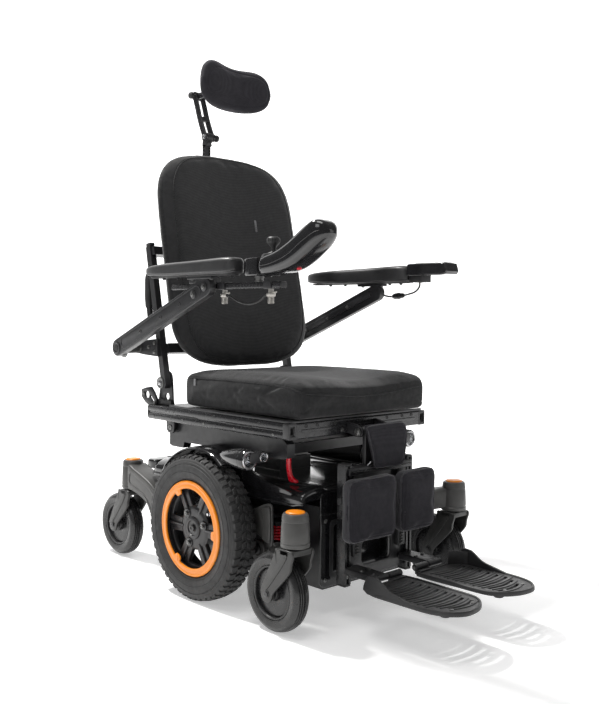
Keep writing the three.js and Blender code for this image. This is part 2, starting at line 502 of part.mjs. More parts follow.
// leads: one from the switch box back to the left link, one along the rail
{
  const p = [[299, -214, 787.6], [299, -212, 776], [300, -198, 764], [302, -176, 758], [305, -150, 754], [309, -118, 752], [315, -92, 752], [318.5, -66, 757], [318.5, -46, 766], [317, -36, 776], [316, -32, 786.5]];
  add('switch_lead', rod(p, 2.5, 8, 20), RUBBER);
  const c = new THREE.CatmullRomCurve3(p.map(q => new THREE.Vector3(...q)), false, 'centripetal');
  const a = c.getPointAt(0.36), b = c.getPointAt(0.56);
  const dir = b.clone().sub(a);
  const mid = a.clone().add(b).multiplyScalar(0.5);
  const g = new THREE.LatheGeometry([[4.6, -22], [8, -20], [9, -12], [9, 12], [8, 20], [4.6, 22], [4.6, -22]].map(q => new THREE.Vector2(...q)), 12);
  const q = new THREE.Matrix4().makeRotationFromQuaternion(new THREE.Quaternion().setFromUnitVectors(new THREE.Vector3(0, 1, 0), dir.normalize()));
  add('lead_connector', solid(g, q, move(mid.x, mid.y, mid.z)), [0x242426, 0.5, 0]);
}
add('joystick_lead', rod([[-272, -246.4, 742], [-271, -238, 741], [-268, -214, 729], [-267, -175, 722], [-268, -136, 729], [-271, -111, 741], [-272, -103.6, 742]], 2.5, 8, 14), RUBBER);

// ---- legrest ----------------------------------------------------------------------
{
  let c = join(
    box(-118, -98, -345, -318, 74, 358), box(98, 118, -345, -318, 74, 358),
    box(-100, 100, -336, -330, 86, 350),
    box(-110, 110, -351, -318, 330, 348),
    box(-40, 40, -334, -322, 340, 420),
    cyl('x', 12, -42.5, 42.5, LEG_PIVOT[0], LEG_PIVOT[1]),
    cyl('x', 6, -60, 60, LEG_PIVOT[0], LEG_PIVOT[1]));
  for (const s of [1, -1]) {
    const X = (a, b) => s > 0 ? [a, b] : [-b, -a];
    c = join(c,
      box(...X(66, 92), -350, -330, 140, 335),
      box(...X(62, 96), -364, -348, 250, 278),
      cyl('x', 8, ...X(62, 70), CALF_PIVOT[0], CALF_PIVOT[1]),
      cyl('x', 8, ...X(88, 96), CALF_PIVOT[0], CALF_PIVOT[1]),
      box(...X(62, 70), CALF_PIVOT[0], -348, 256, 272), box(...X(88, 96), CALF_PIVOT[0], -348, 256, 272),
      box(...X(74, 118), FOOT_PIVOT[0] + 4, -340, 104, 120),
      cyl('x', 8, ...X(72.5, 120), FOOT_PIVOT[0], FOOT_PIVOT[1]));
  }
  add('leg_column', c, BLACK_PAINT);
}
{
  const make = (x0, x1) => {
    const ring = (y, k) => rrect(x0 + k, x1 - k, 192 + k, 336 - k, 20 - k * 0.5, 3).map(([x, z]) => [x, y, z]);
    let p = loft([ring(-418, 8), ring(-410, 0), ring(-388, 0), ring(-383, 6)]);
    const s = x0 + x1 > 0 ? 1 : -1;
    const X = (a, b) => s > 0 ? [a, b] : [-b, -a];
    return join(p, box(...X(71, 87), -386, -368, 258, 270), cyl('x', 6, ...X(70.5, 87.5), CALF_PIVOT[0], CALF_PIVOT[1]));
  };
  add('calf_pad_right', make(-175, -14), FABRIC);
  add('calf_pad_left', make(0, 128), FABRIC);
}
{
  const out = [[18, -443], [135, -443], [158, -455], [172, -478], [172, -600], [164, -648], [142, -678], [112, -691], [74, -686], [38, -664], [22, -636], [18, -610]];
  const slots = [];
  for (let k = 0; k < 7; k++) {
    const y = -486 - 26 * k;
    const sh = 7 * Math.sin(k / 6 * Math.PI);
    slots.push([[48, y - 5], [96, y - 5 - 6], [146 - (k > 5 ? 14 : 0), y - 5], [146 - (k > 5 ? 14 : 0), y + 5], [96, y + 5 - 6], [48, y + 5]].map(([a, b]) => [a, b]));
  }
  let p = prism('z', out, 96, 104, slots);
  p = join(p,
    prism('x', [[-452, 97], [-452, 128], [-466, 140], [-490, 138], [-520, 120], [-590, 106], [-590, 97]], 165, 172).subtract(prism('z', [[100, -400], [158, -455], [172, -478], [200, -478], [200, -400]], 60, 200)),
    prism('z', [[135, -443], [158, -455], [172, -478], [166, -480], [154, -461], [133, -449]], 103, 134),
    cyl('x', 8, 25, 70, FOOT_PIVOT[0], FOOT_PIVOT[1]),
    box(25, 70, -450, -432, 97, 108),
    cyl('z', 12, 86, 97, 60, -640, 12), cyl('z', 12, 86, 97, 130, -640, 12));
  pair('footplate', p, BLACK_PAINT);
}
add('knee_flap', loft([[341, 52, -364], [360, 56, -365], [400, 66, -362], [430, 70, -356], [444, 68, -346]].map(([z, w, y]) =>
  rrect(12 - w, 12 + w, y, y + 12, 5, 2).map(([x, yy]) => [x, yy, z]))), [0x3a3b40, 0.9, 0]);

group.position.set(0, Y_SHIFT, 0);
export default group;
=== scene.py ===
import bpy, bmesh, math, random
from mathutils import Vector, Matrix, noise
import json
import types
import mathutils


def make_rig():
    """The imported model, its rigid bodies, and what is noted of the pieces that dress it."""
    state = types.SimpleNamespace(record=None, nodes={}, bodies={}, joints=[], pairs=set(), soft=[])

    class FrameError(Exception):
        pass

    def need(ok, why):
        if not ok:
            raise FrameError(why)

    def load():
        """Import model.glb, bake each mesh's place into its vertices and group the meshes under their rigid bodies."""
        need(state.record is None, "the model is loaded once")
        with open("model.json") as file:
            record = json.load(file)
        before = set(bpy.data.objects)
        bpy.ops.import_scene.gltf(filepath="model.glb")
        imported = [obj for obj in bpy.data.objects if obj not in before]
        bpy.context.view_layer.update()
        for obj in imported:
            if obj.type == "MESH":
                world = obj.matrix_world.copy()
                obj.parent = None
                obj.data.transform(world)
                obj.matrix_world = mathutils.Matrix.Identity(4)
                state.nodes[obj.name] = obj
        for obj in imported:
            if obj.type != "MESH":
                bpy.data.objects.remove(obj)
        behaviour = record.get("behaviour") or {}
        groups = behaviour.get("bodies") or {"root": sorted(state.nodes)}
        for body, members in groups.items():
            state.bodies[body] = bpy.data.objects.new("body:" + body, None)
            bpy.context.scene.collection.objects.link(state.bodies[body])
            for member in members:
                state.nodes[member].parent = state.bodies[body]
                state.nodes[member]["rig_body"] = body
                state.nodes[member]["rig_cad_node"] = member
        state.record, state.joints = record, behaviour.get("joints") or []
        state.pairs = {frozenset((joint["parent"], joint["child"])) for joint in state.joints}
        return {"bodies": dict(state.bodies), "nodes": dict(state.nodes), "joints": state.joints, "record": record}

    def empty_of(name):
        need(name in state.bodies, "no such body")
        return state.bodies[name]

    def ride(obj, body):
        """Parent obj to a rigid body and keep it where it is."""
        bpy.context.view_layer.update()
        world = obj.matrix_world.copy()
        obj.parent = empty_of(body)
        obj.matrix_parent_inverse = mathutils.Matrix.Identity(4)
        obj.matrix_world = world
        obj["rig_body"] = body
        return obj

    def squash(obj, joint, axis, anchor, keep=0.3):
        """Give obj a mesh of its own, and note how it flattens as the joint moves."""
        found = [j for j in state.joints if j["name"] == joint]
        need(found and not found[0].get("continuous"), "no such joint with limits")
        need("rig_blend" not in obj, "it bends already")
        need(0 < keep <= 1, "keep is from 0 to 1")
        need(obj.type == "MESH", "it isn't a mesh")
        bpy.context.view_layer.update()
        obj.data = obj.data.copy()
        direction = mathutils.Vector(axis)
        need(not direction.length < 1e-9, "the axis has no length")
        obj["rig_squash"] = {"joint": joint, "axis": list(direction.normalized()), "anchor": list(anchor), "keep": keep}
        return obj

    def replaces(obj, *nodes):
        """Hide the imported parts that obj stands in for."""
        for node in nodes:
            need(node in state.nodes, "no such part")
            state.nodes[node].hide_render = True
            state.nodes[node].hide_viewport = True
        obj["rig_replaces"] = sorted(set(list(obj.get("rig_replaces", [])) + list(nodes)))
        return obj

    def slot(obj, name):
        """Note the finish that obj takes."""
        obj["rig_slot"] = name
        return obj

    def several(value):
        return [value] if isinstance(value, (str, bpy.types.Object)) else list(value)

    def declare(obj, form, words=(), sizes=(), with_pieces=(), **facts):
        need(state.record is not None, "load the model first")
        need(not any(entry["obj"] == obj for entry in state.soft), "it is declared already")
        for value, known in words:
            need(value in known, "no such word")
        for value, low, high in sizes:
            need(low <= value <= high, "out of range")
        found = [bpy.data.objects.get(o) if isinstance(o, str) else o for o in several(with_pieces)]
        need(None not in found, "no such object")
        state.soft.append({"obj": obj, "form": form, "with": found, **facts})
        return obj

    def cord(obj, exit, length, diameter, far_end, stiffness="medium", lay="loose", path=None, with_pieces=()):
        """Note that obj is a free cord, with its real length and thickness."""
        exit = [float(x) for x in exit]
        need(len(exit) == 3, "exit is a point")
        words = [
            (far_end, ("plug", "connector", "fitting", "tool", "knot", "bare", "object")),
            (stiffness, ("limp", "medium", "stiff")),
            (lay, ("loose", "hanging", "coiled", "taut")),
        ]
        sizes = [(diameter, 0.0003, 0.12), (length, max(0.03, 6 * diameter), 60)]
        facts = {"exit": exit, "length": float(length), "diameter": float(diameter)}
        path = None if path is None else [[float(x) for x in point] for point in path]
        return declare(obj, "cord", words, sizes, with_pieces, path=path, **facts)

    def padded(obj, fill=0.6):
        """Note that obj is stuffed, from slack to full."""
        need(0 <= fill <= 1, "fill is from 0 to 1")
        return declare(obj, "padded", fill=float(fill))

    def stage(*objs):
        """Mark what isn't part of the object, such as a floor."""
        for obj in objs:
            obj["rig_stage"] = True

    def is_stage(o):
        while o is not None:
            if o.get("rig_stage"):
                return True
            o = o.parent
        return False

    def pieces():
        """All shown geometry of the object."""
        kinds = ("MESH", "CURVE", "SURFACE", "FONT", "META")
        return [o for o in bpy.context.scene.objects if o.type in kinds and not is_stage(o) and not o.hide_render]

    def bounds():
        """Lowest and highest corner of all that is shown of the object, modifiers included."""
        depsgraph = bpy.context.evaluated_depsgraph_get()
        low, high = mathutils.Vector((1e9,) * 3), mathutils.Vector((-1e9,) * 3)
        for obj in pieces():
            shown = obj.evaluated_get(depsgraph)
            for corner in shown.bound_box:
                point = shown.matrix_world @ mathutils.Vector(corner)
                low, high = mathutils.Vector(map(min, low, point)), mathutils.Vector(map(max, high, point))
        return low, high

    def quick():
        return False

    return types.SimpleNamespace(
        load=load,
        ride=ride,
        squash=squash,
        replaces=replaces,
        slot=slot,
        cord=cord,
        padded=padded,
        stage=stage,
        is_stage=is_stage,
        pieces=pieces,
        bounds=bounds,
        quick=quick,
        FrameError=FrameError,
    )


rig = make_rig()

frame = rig.load()
cad_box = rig.bounds()
random.seed(7)
S = 0.001
OY = 60.0            # the design's drive axle lies 60 mm behind the origin
pi = math.pi
D = pi / 180
coll = bpy.context.scene.collection
SIDES = (("left", 1), ("right", -1))


def W(x, y, z):
    return Vector((x * S, (y + OY) * S, z * S))


# ------------------------------------------------------------------ camera
def camera():
    az, el, roll = -43.3 * D, 2.4 * D, 0.5 * D
    back = Vector((math.sin(az) * math.cos(el), -math.cos(az) * math.cos(el), math.sin(el)))
    fwd = -back
    right = fwd.cross(Vector((0, 0, 1))).normalized()
    up = right.cross(fwd)
    r2 = right * math.cos(roll) + up * math.sin(roll)
    u2 = -right * math.sin(roll) + up * math.cos(roll)
    m = Matrix(((r2.x, u2.x, back.x, 0), (r2.y, u2.y, back.y, 0), (r2.z, u2.z, back.z, 0), (0, 0, 0, 1)))
    m.translation = W(60, 0, 598.7) + back * 2.3799
    data = bpy.data.cameras.new("camera")
    data.sensor_fit = "VERTICAL"
    data.sensor_height = 24
    data.lens = 885.2 / 704 * 24
    data.clip_end = 60
    cam = bpy.data.objects.new("camera", data)
    cam.matrix_world = m
    coll.objects.link(cam)
    bpy.context.scene.camera = cam


camera()


# --------------------------------------------------------------- materials
def material(name, color, rough=0.4, metal=0.0, var=0.15, var_scale=40, rough_var=0.08, rough_scale=90,
             bump=0.15, bump_scale=900, bump_dist=0.0003, coat=0.0, coat_rough=0.1, sheen=0.0, sheen_rough=0.5,
             spec=0.5, kind="noise", wrinkle=0.0, color2=None, dust=0.0, sheen_tint=None):
    """Procedural material: colour variation, roughness variation and a fine surface."""
    m = bpy.data.materials.new(name)
    m.use_nodes = True
    nt = m.node_tree
    for n in list(nt.nodes):
        nt.nodes.remove(n)
    L = nt.links.new
    out = nt.nodes.new("ShaderNodeOutputMaterial")
    b = nt.nodes.new("ShaderNodeBsdfPrincipled")
    L(b.outputs[0], out.inputs[0])
    b.inputs["Metallic"].default_value = metal
    b.inputs["Specular IOR Level"].default_value = spec
    b.inputs["Coat Weight"].default_value = coat
    b.inputs["Coat Roughness"].default_value = coat_rough
    b.inputs["Sheen Weight"].default_value = sheen
    b.inputs["Sheen Roughness"].default_value = sheen_rough
    if sheen_tint:
        b.inputs["Sheen Tint"].default_value = (*sheen_tint, 1)
    tc = nt.nodes.new("ShaderNodeTexCoord")
    co = tc.outputs["Object"]

    def noise_node(scale, detail=3.0, rough_=0.55):
        n = nt.nodes.new("ShaderNodeTexNoise")
        n.inputs["Scale"].default_value = scale
        n.inputs["Detail"].default_value = detail
        n.inputs["Roughness"].default_value = rough_
        L(co, n.inputs["Vector"])
        return n

    # colour
    n1 = noise_node(var_scale)
    ramp = nt.nodes.new("ShaderNodeValToRGB")
    ramp.color_ramp.elements[0].position = 0.3
    ramp.color_ramp.elements[1].position = 0.7
    c2 = color2 or tuple(min(1.0, c * (1 + var) + 0.002) for c in color)
    ramp.color_ramp.elements[0].color = (*[c * (1 - var) for c in color], 1)
    ramp.color_ramp.elements[1].color = (*c2, 1)
    L(n1.outputs["Fac"], ramp.inputs["Fac"])
    col = ramp.outputs["Color"]
    if dust:
        geo = nt.nodes.new("ShaderNodeNewGeometry")
        sep = nt.nodes.new("ShaderNodeSeparateXYZ")
        L(geo.outputs["Normal"], sep.inputs[0])
        n5 = noise_node(25, 5)
        mul = nt.nodes.new("ShaderNodeMath"); mul.operation = "MULTIPLY"; mul.use_clamp = True
        L(sep.outputs["Z"], mul.inputs[0]); L(n5.outputs["Fac"], mul.inputs[1])
        mul2 = nt.nodes.new("ShaderNodeMath"); mul2.operation = "MULTIPLY"; mul2.use_clamp = True
        L(mul.outputs[0], mul2.inputs[0]); mul2.inputs[1].default_value = dust
        mx = nt.nodes.new("ShaderNodeMix"); mx.data_type = "RGBA"
        L(mul2.outputs[0], mx.inputs["Factor"]); L(col, mx.inputs[6]); mx.inputs[7].default_value = (0.35, 0.34, 0.33, 1)
        col = mx.outputs[2]
    # roughness
    n2 = noise_node(rough_scale, 4)
    mr = nt.nodes.new("ShaderNodeMapRange")
    mr.inputs["From Min"].default_value = 0.3
    mr.inputs["From Max"].default_value = 0.7
    mr.inputs["To Min"].default_value = max(0.02, rough - rough_var)
    mr.inputs["To Max"].default_value = min(1.0, rough + rough_var)
    L(n2.outputs["Fac"], mr.inputs["Value"])
    L(mr.outputs["Result"], b.inputs["Roughness"])
    # fine surface
    height = None
    if kind == "noise":
        height = noise_node(bump_scale, 2).outputs["Fac"]
    elif kind == "leather":
        v = nt.nodes.new("ShaderNodeTexVoronoi")
        v.feature = "SMOOTH_F1"
        v.inputs["Scale"].default_value = bump_scale
        L(co, v.inputs["Vector"])
        height = v.outputs["Distance"]
    elif kind in ("knit", "weave"):
        # threads crossing at right angles, taken along each axis so that every face has them
        sep = nt.nodes.new("ShaderNodeSeparateXYZ")
        warp = noise_node(14, 2)
        add = nt.nodes.new("ShaderNodeVectorMath"); add.operation = "MULTIPLY_ADD"
        L(warp.outputs["Color"], add.inputs[0]); add.inputs[1].default_value = (0.0025,) * 3; L(co, add.inputs[2])
        L(add.outputs[0], sep.inputs[0])
        sines = []
        for ax, k in (("X", 1.0), ("Y", 1.0), ("Z", 1.0)):
            m1 = nt.nodes.new("ShaderNodeMath"); m1.operation = "MULTIPLY"
            L(sep.outputs[ax], m1.inputs[0]); m1.inputs[1].default_value = bump_scale * 2 * pi * k
            s1 = nt.nodes.new("ShaderNodeMath"); s1.operation = "SINE"
            L(m1.outputs[0], s1.inputs[0])
            sines.append(s1.outputs[0])
        a1 = nt.nodes.new("ShaderNodeMath"); a1.operation = "ADD"
        L(sines[0], a1.inputs[0]); L(sines[1], a1.inputs[1])
        a2 = nt.nodes.new("ShaderNodeMath"); a2.operation = "ADD"
        L(a1.outputs[0], a2.inputs[0]); L(sines[2], a2.inputs[1])
        n4 = noise_node(bump_scale * 1.7, 2)
        a3 = nt.nodes.new("ShaderNodeMath"); a3.operation = "MULTIPLY_ADD"
        L(a2.outputs[0], a3.inputs[0]); a3.inputs[1].default_value = 0.25; L(n4.outputs["Fac"], a3.inputs[2])
        height = a3.outputs[0]
        # threads catch light differently: colour follows the height a little
        mx = nt.nodes.new("ShaderNodeMix"); mx.data_type = "RGBA"; mx.blend_type = "MULTIPLY"
        mr2 = nt.nodes.new("ShaderNodeMapRange")
        mr2.inputs["From Min"].default_value = -0.3; mr2.inputs["From Max"].default_value = 1.3
        mr2.inputs["To Min"].default_value = 0.62; mr2.inputs["To Max"].default_value = 1.25
        L(height, mr2.inputs["Value"])
        cmb = nt.nodes.new("ShaderNodeCombineColor")
        for i in range(3):
            L(mr2.outputs["Result"], cmb.inputs[i])
        mx.inputs["Factor"].default_value = 1.0
        L(col, mx.inputs[6]); L(cmb.outputs[0], mx.inputs[7])
        col = mx.outputs[2]
    L(col, b.inputs["Base Color"])
    bn = nt.nodes.new("ShaderNodeBump")
    bn.inputs["Strength"].default_value = bump
    bn.inputs["Distance"].default_value = bump_dist
    L(height, bn.inputs["Height"])
    if wrinkle:
        n3 = noise_node(22, 4, 0.6)
        b2 = nt.nodes.new("ShaderNodeBump")
        b2.inputs["Strength"].default_value = wrinkle
        b2.inputs["Distance"].default_value = 0.004
        L(n3.outputs["Fac"], b2.inputs["Height"])
        L(b2.outputs[0], bn.inputs["Normal"])
    L(bn.outputs[0], b.inputs["Normal"])
    return m


MAT = {
    "paint": material("black_powder_coat", (0.014, 0.014, 0.0155), 0.36, var=0.25, bump=0.25, bump_scale=1400, bump_dist=0.0002, rough_var=0.07, dust=0.10),
    "paint_gloss": material("black_anodised", (0.012, 0.012, 0.0135), 0.24, var=0.2, bump=0.1, bump_scale=700, rough_var=0.06, dust=0.06),
    "gloss": material("gloss_black_moulding", (0.0075, 0.0075, 0.0085), 0.14, var=0.2, bump=0.05, bump_scale=220, bump_dist=0.0002, rough_var=0.05, rough_scale=30, coat=0.35, coat_rough=0.06, dust=0.05),
    "grey": material("dark_grey_satin", (0.062, 0.061, 0.059), 0.42, var=0.08, bump=0.22, bump_scale=1600, bump_dist=0.0002, rough_var=0.05),
    "grey_dark": material("graphite_satin", (0.032, 0.032, 0.031), 0.4, var=0.1, bump=0.2, bump_scale=1600, bump_dist=0.0002, rough_var=0.06),
    "orange": material("orange_trim", (0.84, 0.24, 0.002), 0.34, var=0.04, color2=(0.86, 0.255, 0.004), bump=0.06, bump_scale=600, rough_var=0.05, coat=0.2),
    "red": material("red_coat", (0.62, 0.004, 0.018), 0.28, var=0.12, bump=0.08, bump_scale=700, coat=0.3),
    "steel": material("bright_steel", (0.46, 0.46, 0.47), 0.26, metal=1.0, var=0.06, bump=0.08, bump_scale=1800, rough_var=0.07),
    "blackened": material("blackened_steel", (0.085, 0.085, 0.086), 0.38, metal=1.0, var=0.12, bump=0.12, bump_scale=1200, rough_var=0.08),
    "alloy": material("warm_grey_alloy", (0.40, 0.385, 0.36), 0.36, metal=1.0, var=0.06, bump=0.08, bump_scale=1500, rough_var=0.06),
    "zinc": material("zinc_plate", (0.20, 0.20, 0.197), 0.38, metal=1.0, var=0.15, bump=0.15, bump_scale=1200, rough_var=0.1),
    "tyre": material("drive_tyre_rubber", (0.0195, 0.0195, 0.020), 0.62, var=0.22, bump=0.35, bump_scale=1200, bump_dist=0.0003, rough_var=0.1, dust=0.10),
    "caster": material("caster_rubber", (0.014, 0.014, 0.0145), 0.3, var=0.25, bump=0.12, bump_scale=800, rough_var=0.08, dust=0.06),
    "rubber": material("soft_rubber", (0.012, 0.012, 0.0125), 0.55, var=0.2, bump=0.2, bump_scale=1500, rough_var=0.08),
    "plastic": material("textured_black_plastic", (0.015, 0.015, 0.016), 0.48, var=0.15, bump=0.4, bump_scale=1900, bump_dist=0.00025, rough_var=0.06, dust=0.06),
    "plastic_smooth": material("smooth_black_plastic", (0.011, 0.011, 0.012), 0.3, var=0.15, bump=0.1, bump_scale=900, rough_var=0.06, dust=0.05),
    "seat": material("seat_cloth_charcoal", (0.021, 0.021, 0.022), 0.9, var=0.06, bump=0.28, bump_scale=620, bump_dist=0.0004, sheen=0.25, sheen_rough=0.45, kind="weave", wrinkle=0.12, spec=0.25),
    "seat_side": material("seat_cloth_black", (0.011, 0.011, 0.0118), 0.8, var=0.07, bump=0.25, bump_scale=700, bump_dist=0.0003, sheen=0.18, sheen_rough=0.4, kind="weave", wrinkle=0.25, spec=0.3),
    "pad": material("pad_cloth_grey", (0.018, 0.017, 0.021), 0.92, var=0.05, bump=0.28, bump_scale=560, bump_dist=0.0004, sheen=0.16, sheen_rough=0.4, kind="weave", wrinkle=0.10, spec=0.25, sheen_tint=(0.86, 0.84, 0.92)),
    "pad_edge": material("pad_piping", (0.034, 0.033, 0.038), 0.85, var=0.06, bump=0.3, bump_scale=700, bump_dist=0.0003, sheen=0.3, kind="weave", spec=0.25),
    "armpad": material("arm_pad_skin", (0.015, 0.015, 0.016), 0.42, var=0.18, bump=0.3, bump_scale=420, bump_dist=0.0003, kind="leather", rough_var=0.07, dust=0.05),
    "tag": material("woven_tag", (0.13, 0.13, 0.135), 0.8, var=0.3, bump=0.5, bump_scale=800, kind="weave"),
    "thread": material("stitching", (0.05, 0.05, 0.053), 0.7, var=0.2, bump=0.4, bump_scale=1500, kind="weave"),
    "case": material("battery_case", (0.05, 0.05, 0.053), 0.6, var=0.1, bump=0.3, bump_scale=1200),
    "brass": material("brass_fitting", (0.55, 0.38, 0.15), 0.3, metal=1.0, var=0.1, bump=0.1),
}


def glass_material():
    m = bpy.data.materials.new("lamp_lens")
    m.use_nodes = True
    nt = m.node_tree
    b = nt.nodes["Principled BSDF"]
    b.inputs["Base Color"].default_value = (0.9, 0.92, 0.95, 1)
    b.inputs["Roughness"].default_value = 0.04
    b.inputs["Transmission Weight"].default_value = 1.0
    b.inputs["IOR"].default_value = 1.45
    v = nt.nodes.new("ShaderNodeTexVoronoi")
    v.inputs["Scale"].default_value = 260
    tc = nt.nodes.new("ShaderNodeTexCoord")
    nt.links.new(tc.outputs["Object"], v.inputs["Vector"])
    bn = nt.nodes.new("ShaderNodeBump")
    bn.inputs["Strength"].default_value = 0.15
    bn.inputs["Distance"].default_value = 0.0004
    nt.links.new(v.outputs["Distance"], bn.inputs["Height"])
    nt.links.new(bn.outputs[0], b.inputs["Normal"])
    return m


MAT["lens"] = glass_material()


# ------------------------------------------------------------ mesh helpers
def obj(name, mesh, mat):
    o = bpy.data.objects.new(name, mesh)
    coll.objects.link(o)
    if mat is not None:
        mats = mat if isinstance(mat, (list, tuple)) else [mat]
        for m in mats:
            o.data.materials.append(MAT[m] if isinstance(m, str) else m)
    return o


def shade(me, angle=35):
    """smooth shading with sharp edges where faces meet at more than the angle"""
    bm = bmesh.new()
    bm.from_mesh(me)
    for f in bm.faces:
        f.smooth = True
    a = angle * D
    for e in bm.edges:
        if len(e.link_faces) == 2:
            e.smooth = e.calc_face_angle(0) < a
    bm.to_mesh(me)
    bm.free()


def from_lists(name, verts, faces, mat, angle=35, mats=None):
    me = bpy.data.meshes.new(name)
    me.from_pydata([tuple(v) for v in verts], [], faces)
    me.validate()
    bm = bmesh.new(); bm.from_mesh(me)
    bmesh.ops.remove_doubles(bm, verts=bm.verts, dist=1e-6)
    bmesh.ops.recalc_face_normals(bm, faces=bm.faces)
    bm.to_mesh(me); bm.free()
    shade(me, angle)
    return obj(name, me, mat)


def bevel(o, width=0.8, seg=2, angle=30):
    m = o.modifiers.new("bevel", "BEVEL")
    m.width = width * S
    m.segments = seg
    m.limit_method = "ANGLE"
    m.angle_limit = angle * D
    m.harden_normals = True
    m.use_clamp_overlap = True
    return o


def subsurf(o, n=2):
    m = o.modifiers.new("sub", "SUBSURF")
    m.levels = n
    m.render_levels = n
    return o


def bake(o):
    """applies the object's modifiers to its mesh"""
    dg = bpy.context.evaluated_depsgraph_get()
    dg.update()
    me = bpy.data.meshes.new_from_object(o.evaluated_get(dg))
    o.modifiers.clear()
    old = o.data
    o.data = me
    if isinstance(old, bpy.types.Mesh):
        bpy.data.meshes.remove(old)
    return o


def lathe(name, prof, axis, c, mat, seg=64, angle=35, arc=None, mats=None):
    """prof: (radius, along the axis) in mm; open profiles start and end on the axis, others are closed loops"""
    closed = prof[0][0] > 1e-6 or prof[-1][0] > 1e-6
    n = len(prof)
    verts, faces = [], []
    for k in range(seg):
        t = 2 * pi * k / seg
        for r, h in prof:
            a, b = r * math.cos(t), r * math.sin(t)
            p = {"x": (h, a, b), "y": (b, h, a), "z": (a, b, h)}[axis]
            verts.append(W(c[0] + p[0], c[1] + p[1], c[2] + p[2]))
    m = n if closed else n - 1
    for k in range(seg):
        k2 = (k + 1) % seg
        for i in range(m):
            j = (i + 1) % n
            faces.append((k * n + i, k * n + j, k2 * n + j, k2 * n + i))
    return from_lists(name, verts, faces, mat, angle)


def rrect(x0, x1, y0, y1, r, n=6):
    pts = []
    for cx, cy, a in ((x1 - r, y1 - r, 0), (x0 + r, y1 - r, 90), (x0 + r, y0 + r, 180), (x1 - r, y0 + r, 270)):
        for i in range(n + 1):
            t = (a + 90 * i / n) * D
            pts.append((cx + r * math.cos(t), cy + r * math.sin(t)))
    return pts


def circle(cx, cy, r, n=32):
    return [(cx + r * math.cos(2 * pi * i / n), cy + r * math.sin(2 * pi * i / n)) for i in range(n)]


def stadium(p, q, r, n=10):
    a = math.atan2(q[1] - p[1], q[0] - p[0])
    pts = [(q[0] + r * math.cos(a - pi / 2 + pi * i / n), q[1] + r * math.sin(a - pi / 2 + pi * i / n)) for i in range(n + 1)]
    pts += [(p[0] + r * math.cos(a + pi / 2 + pi * i / n), p[1] + r * math.sin(a + pi / 2 + pi * i / n)) for i in range(n + 1)]
    return pts


def smooth_loop(pts, n=6):
    """closed Catmull-Rom through points"""
    out = []
    N = len(pts)
    for i in range(N):
        p0, p1, p2, p3 = (Vector(pts[(i + k - 1) % N]) for k in range(4))
        for j in range(n):
            t = j / n
            out.append(tuple(0.5 * ((2 * p1) + (-p0 + p2) * t + (2 * p0 - 5 * p1 + 4 * p2 - p3) * t * t + (-p0 + 3 * p1 - 3 * p2 + p3) * t ** 3)))
    return out


def smooth_path(pts, n=8):
    out = []
    N = len(pts)
    for i in range(N - 1):
        p1, p2 = Vector(pts[i]), Vector(pts[i + 1])
        p0 = Vector(pts[i - 1]) if i else p1 * 2 - p2
        p3 = Vector(pts[i + 2]) if i + 2 < N else p2 * 2 - p1
        for j in range(n):
            t = j / n
            out.append(tuple(0.5 * ((2 * p1) + (-p0 + p2) * t + (2 * p0 - 5 * p1 + 4 * p2 - p3) * t * t + (-p0 + 3 * p1 - 3 * p2 + p3) * t ** 3)))
    out.append(tuple(pts[-1]))
    return out


def plate(name, outline, axis, a0, a1, mat, holes=(), bev=0.6, res=2, angle=35):
    """flat outline with holes, pulled between two planes across an axis, with rounded edges"""
    cu = bpy.data.curves.new(name, "CURVE")
    cu.dimensions = "2D"
    cu.fill_mode = "BOTH"
    for loop in [outline, *holes]:
        sp = cu.splines.new("POLY")
        sp.points.add(len(loop) - 1)
        for p, q in zip(sp.points, loop):
            p.co = (q[0] * S, q[1] * S, 0, 1)
        sp.use_cyclic_u = True
    bev = min(bev, (a1 - a0) / 2 - 0.01)
    cu.extrude = ((a1 - a0) / 2 - bev) * S
    cu.bevel_depth = bev * S
    cu.bevel_resolution = res
    cu.offset = -bev * S
    tmp = bpy.data.objects.new(name + "_c", cu)
    coll.objects.link(tmp)
    dg = bpy.context.evaluated_depsgraph_get()
    me = bpy.data.meshes.new_from_object(tmp.evaluated_get(dg))
    bpy.data.objects.remove(tmp)
    bpy.data.curves.remove(cu)
    me.name = name
    mid = (a0 + a1) / 2 * S
    if axis == "x":
        m = Matrix(((0, 0, 1, mid), (1, 0, 0, OY * S), (0, 1, 0, 0), (0, 0, 0, 1)))
    elif axis == "y":
        m = Matrix(((1, 0, 0, 0), (0, 0, -1, mid + OY * S), (0, 1, 0, 0), (0, 0, 0, 1)))
    else:
        m = Matrix(((1, 0, 0, 0), (0, 1, 0, OY * S), (0, 0, 1, mid), (0, 0, 0, 1)))
    me.transform(m)
    me.materials.clear()
    bm = bmesh.new(); bm.from_mesh(me)
    bmesh.ops.remove_doubles(bm, verts=bm.verts, dist=1e-6)
    bmesh.ops.recalc_face_normals(bm, faces=bm.faces)
    bm.to_mesh(me); bm.free()
    shade(me, angle)
    return obj(name, me, mat)


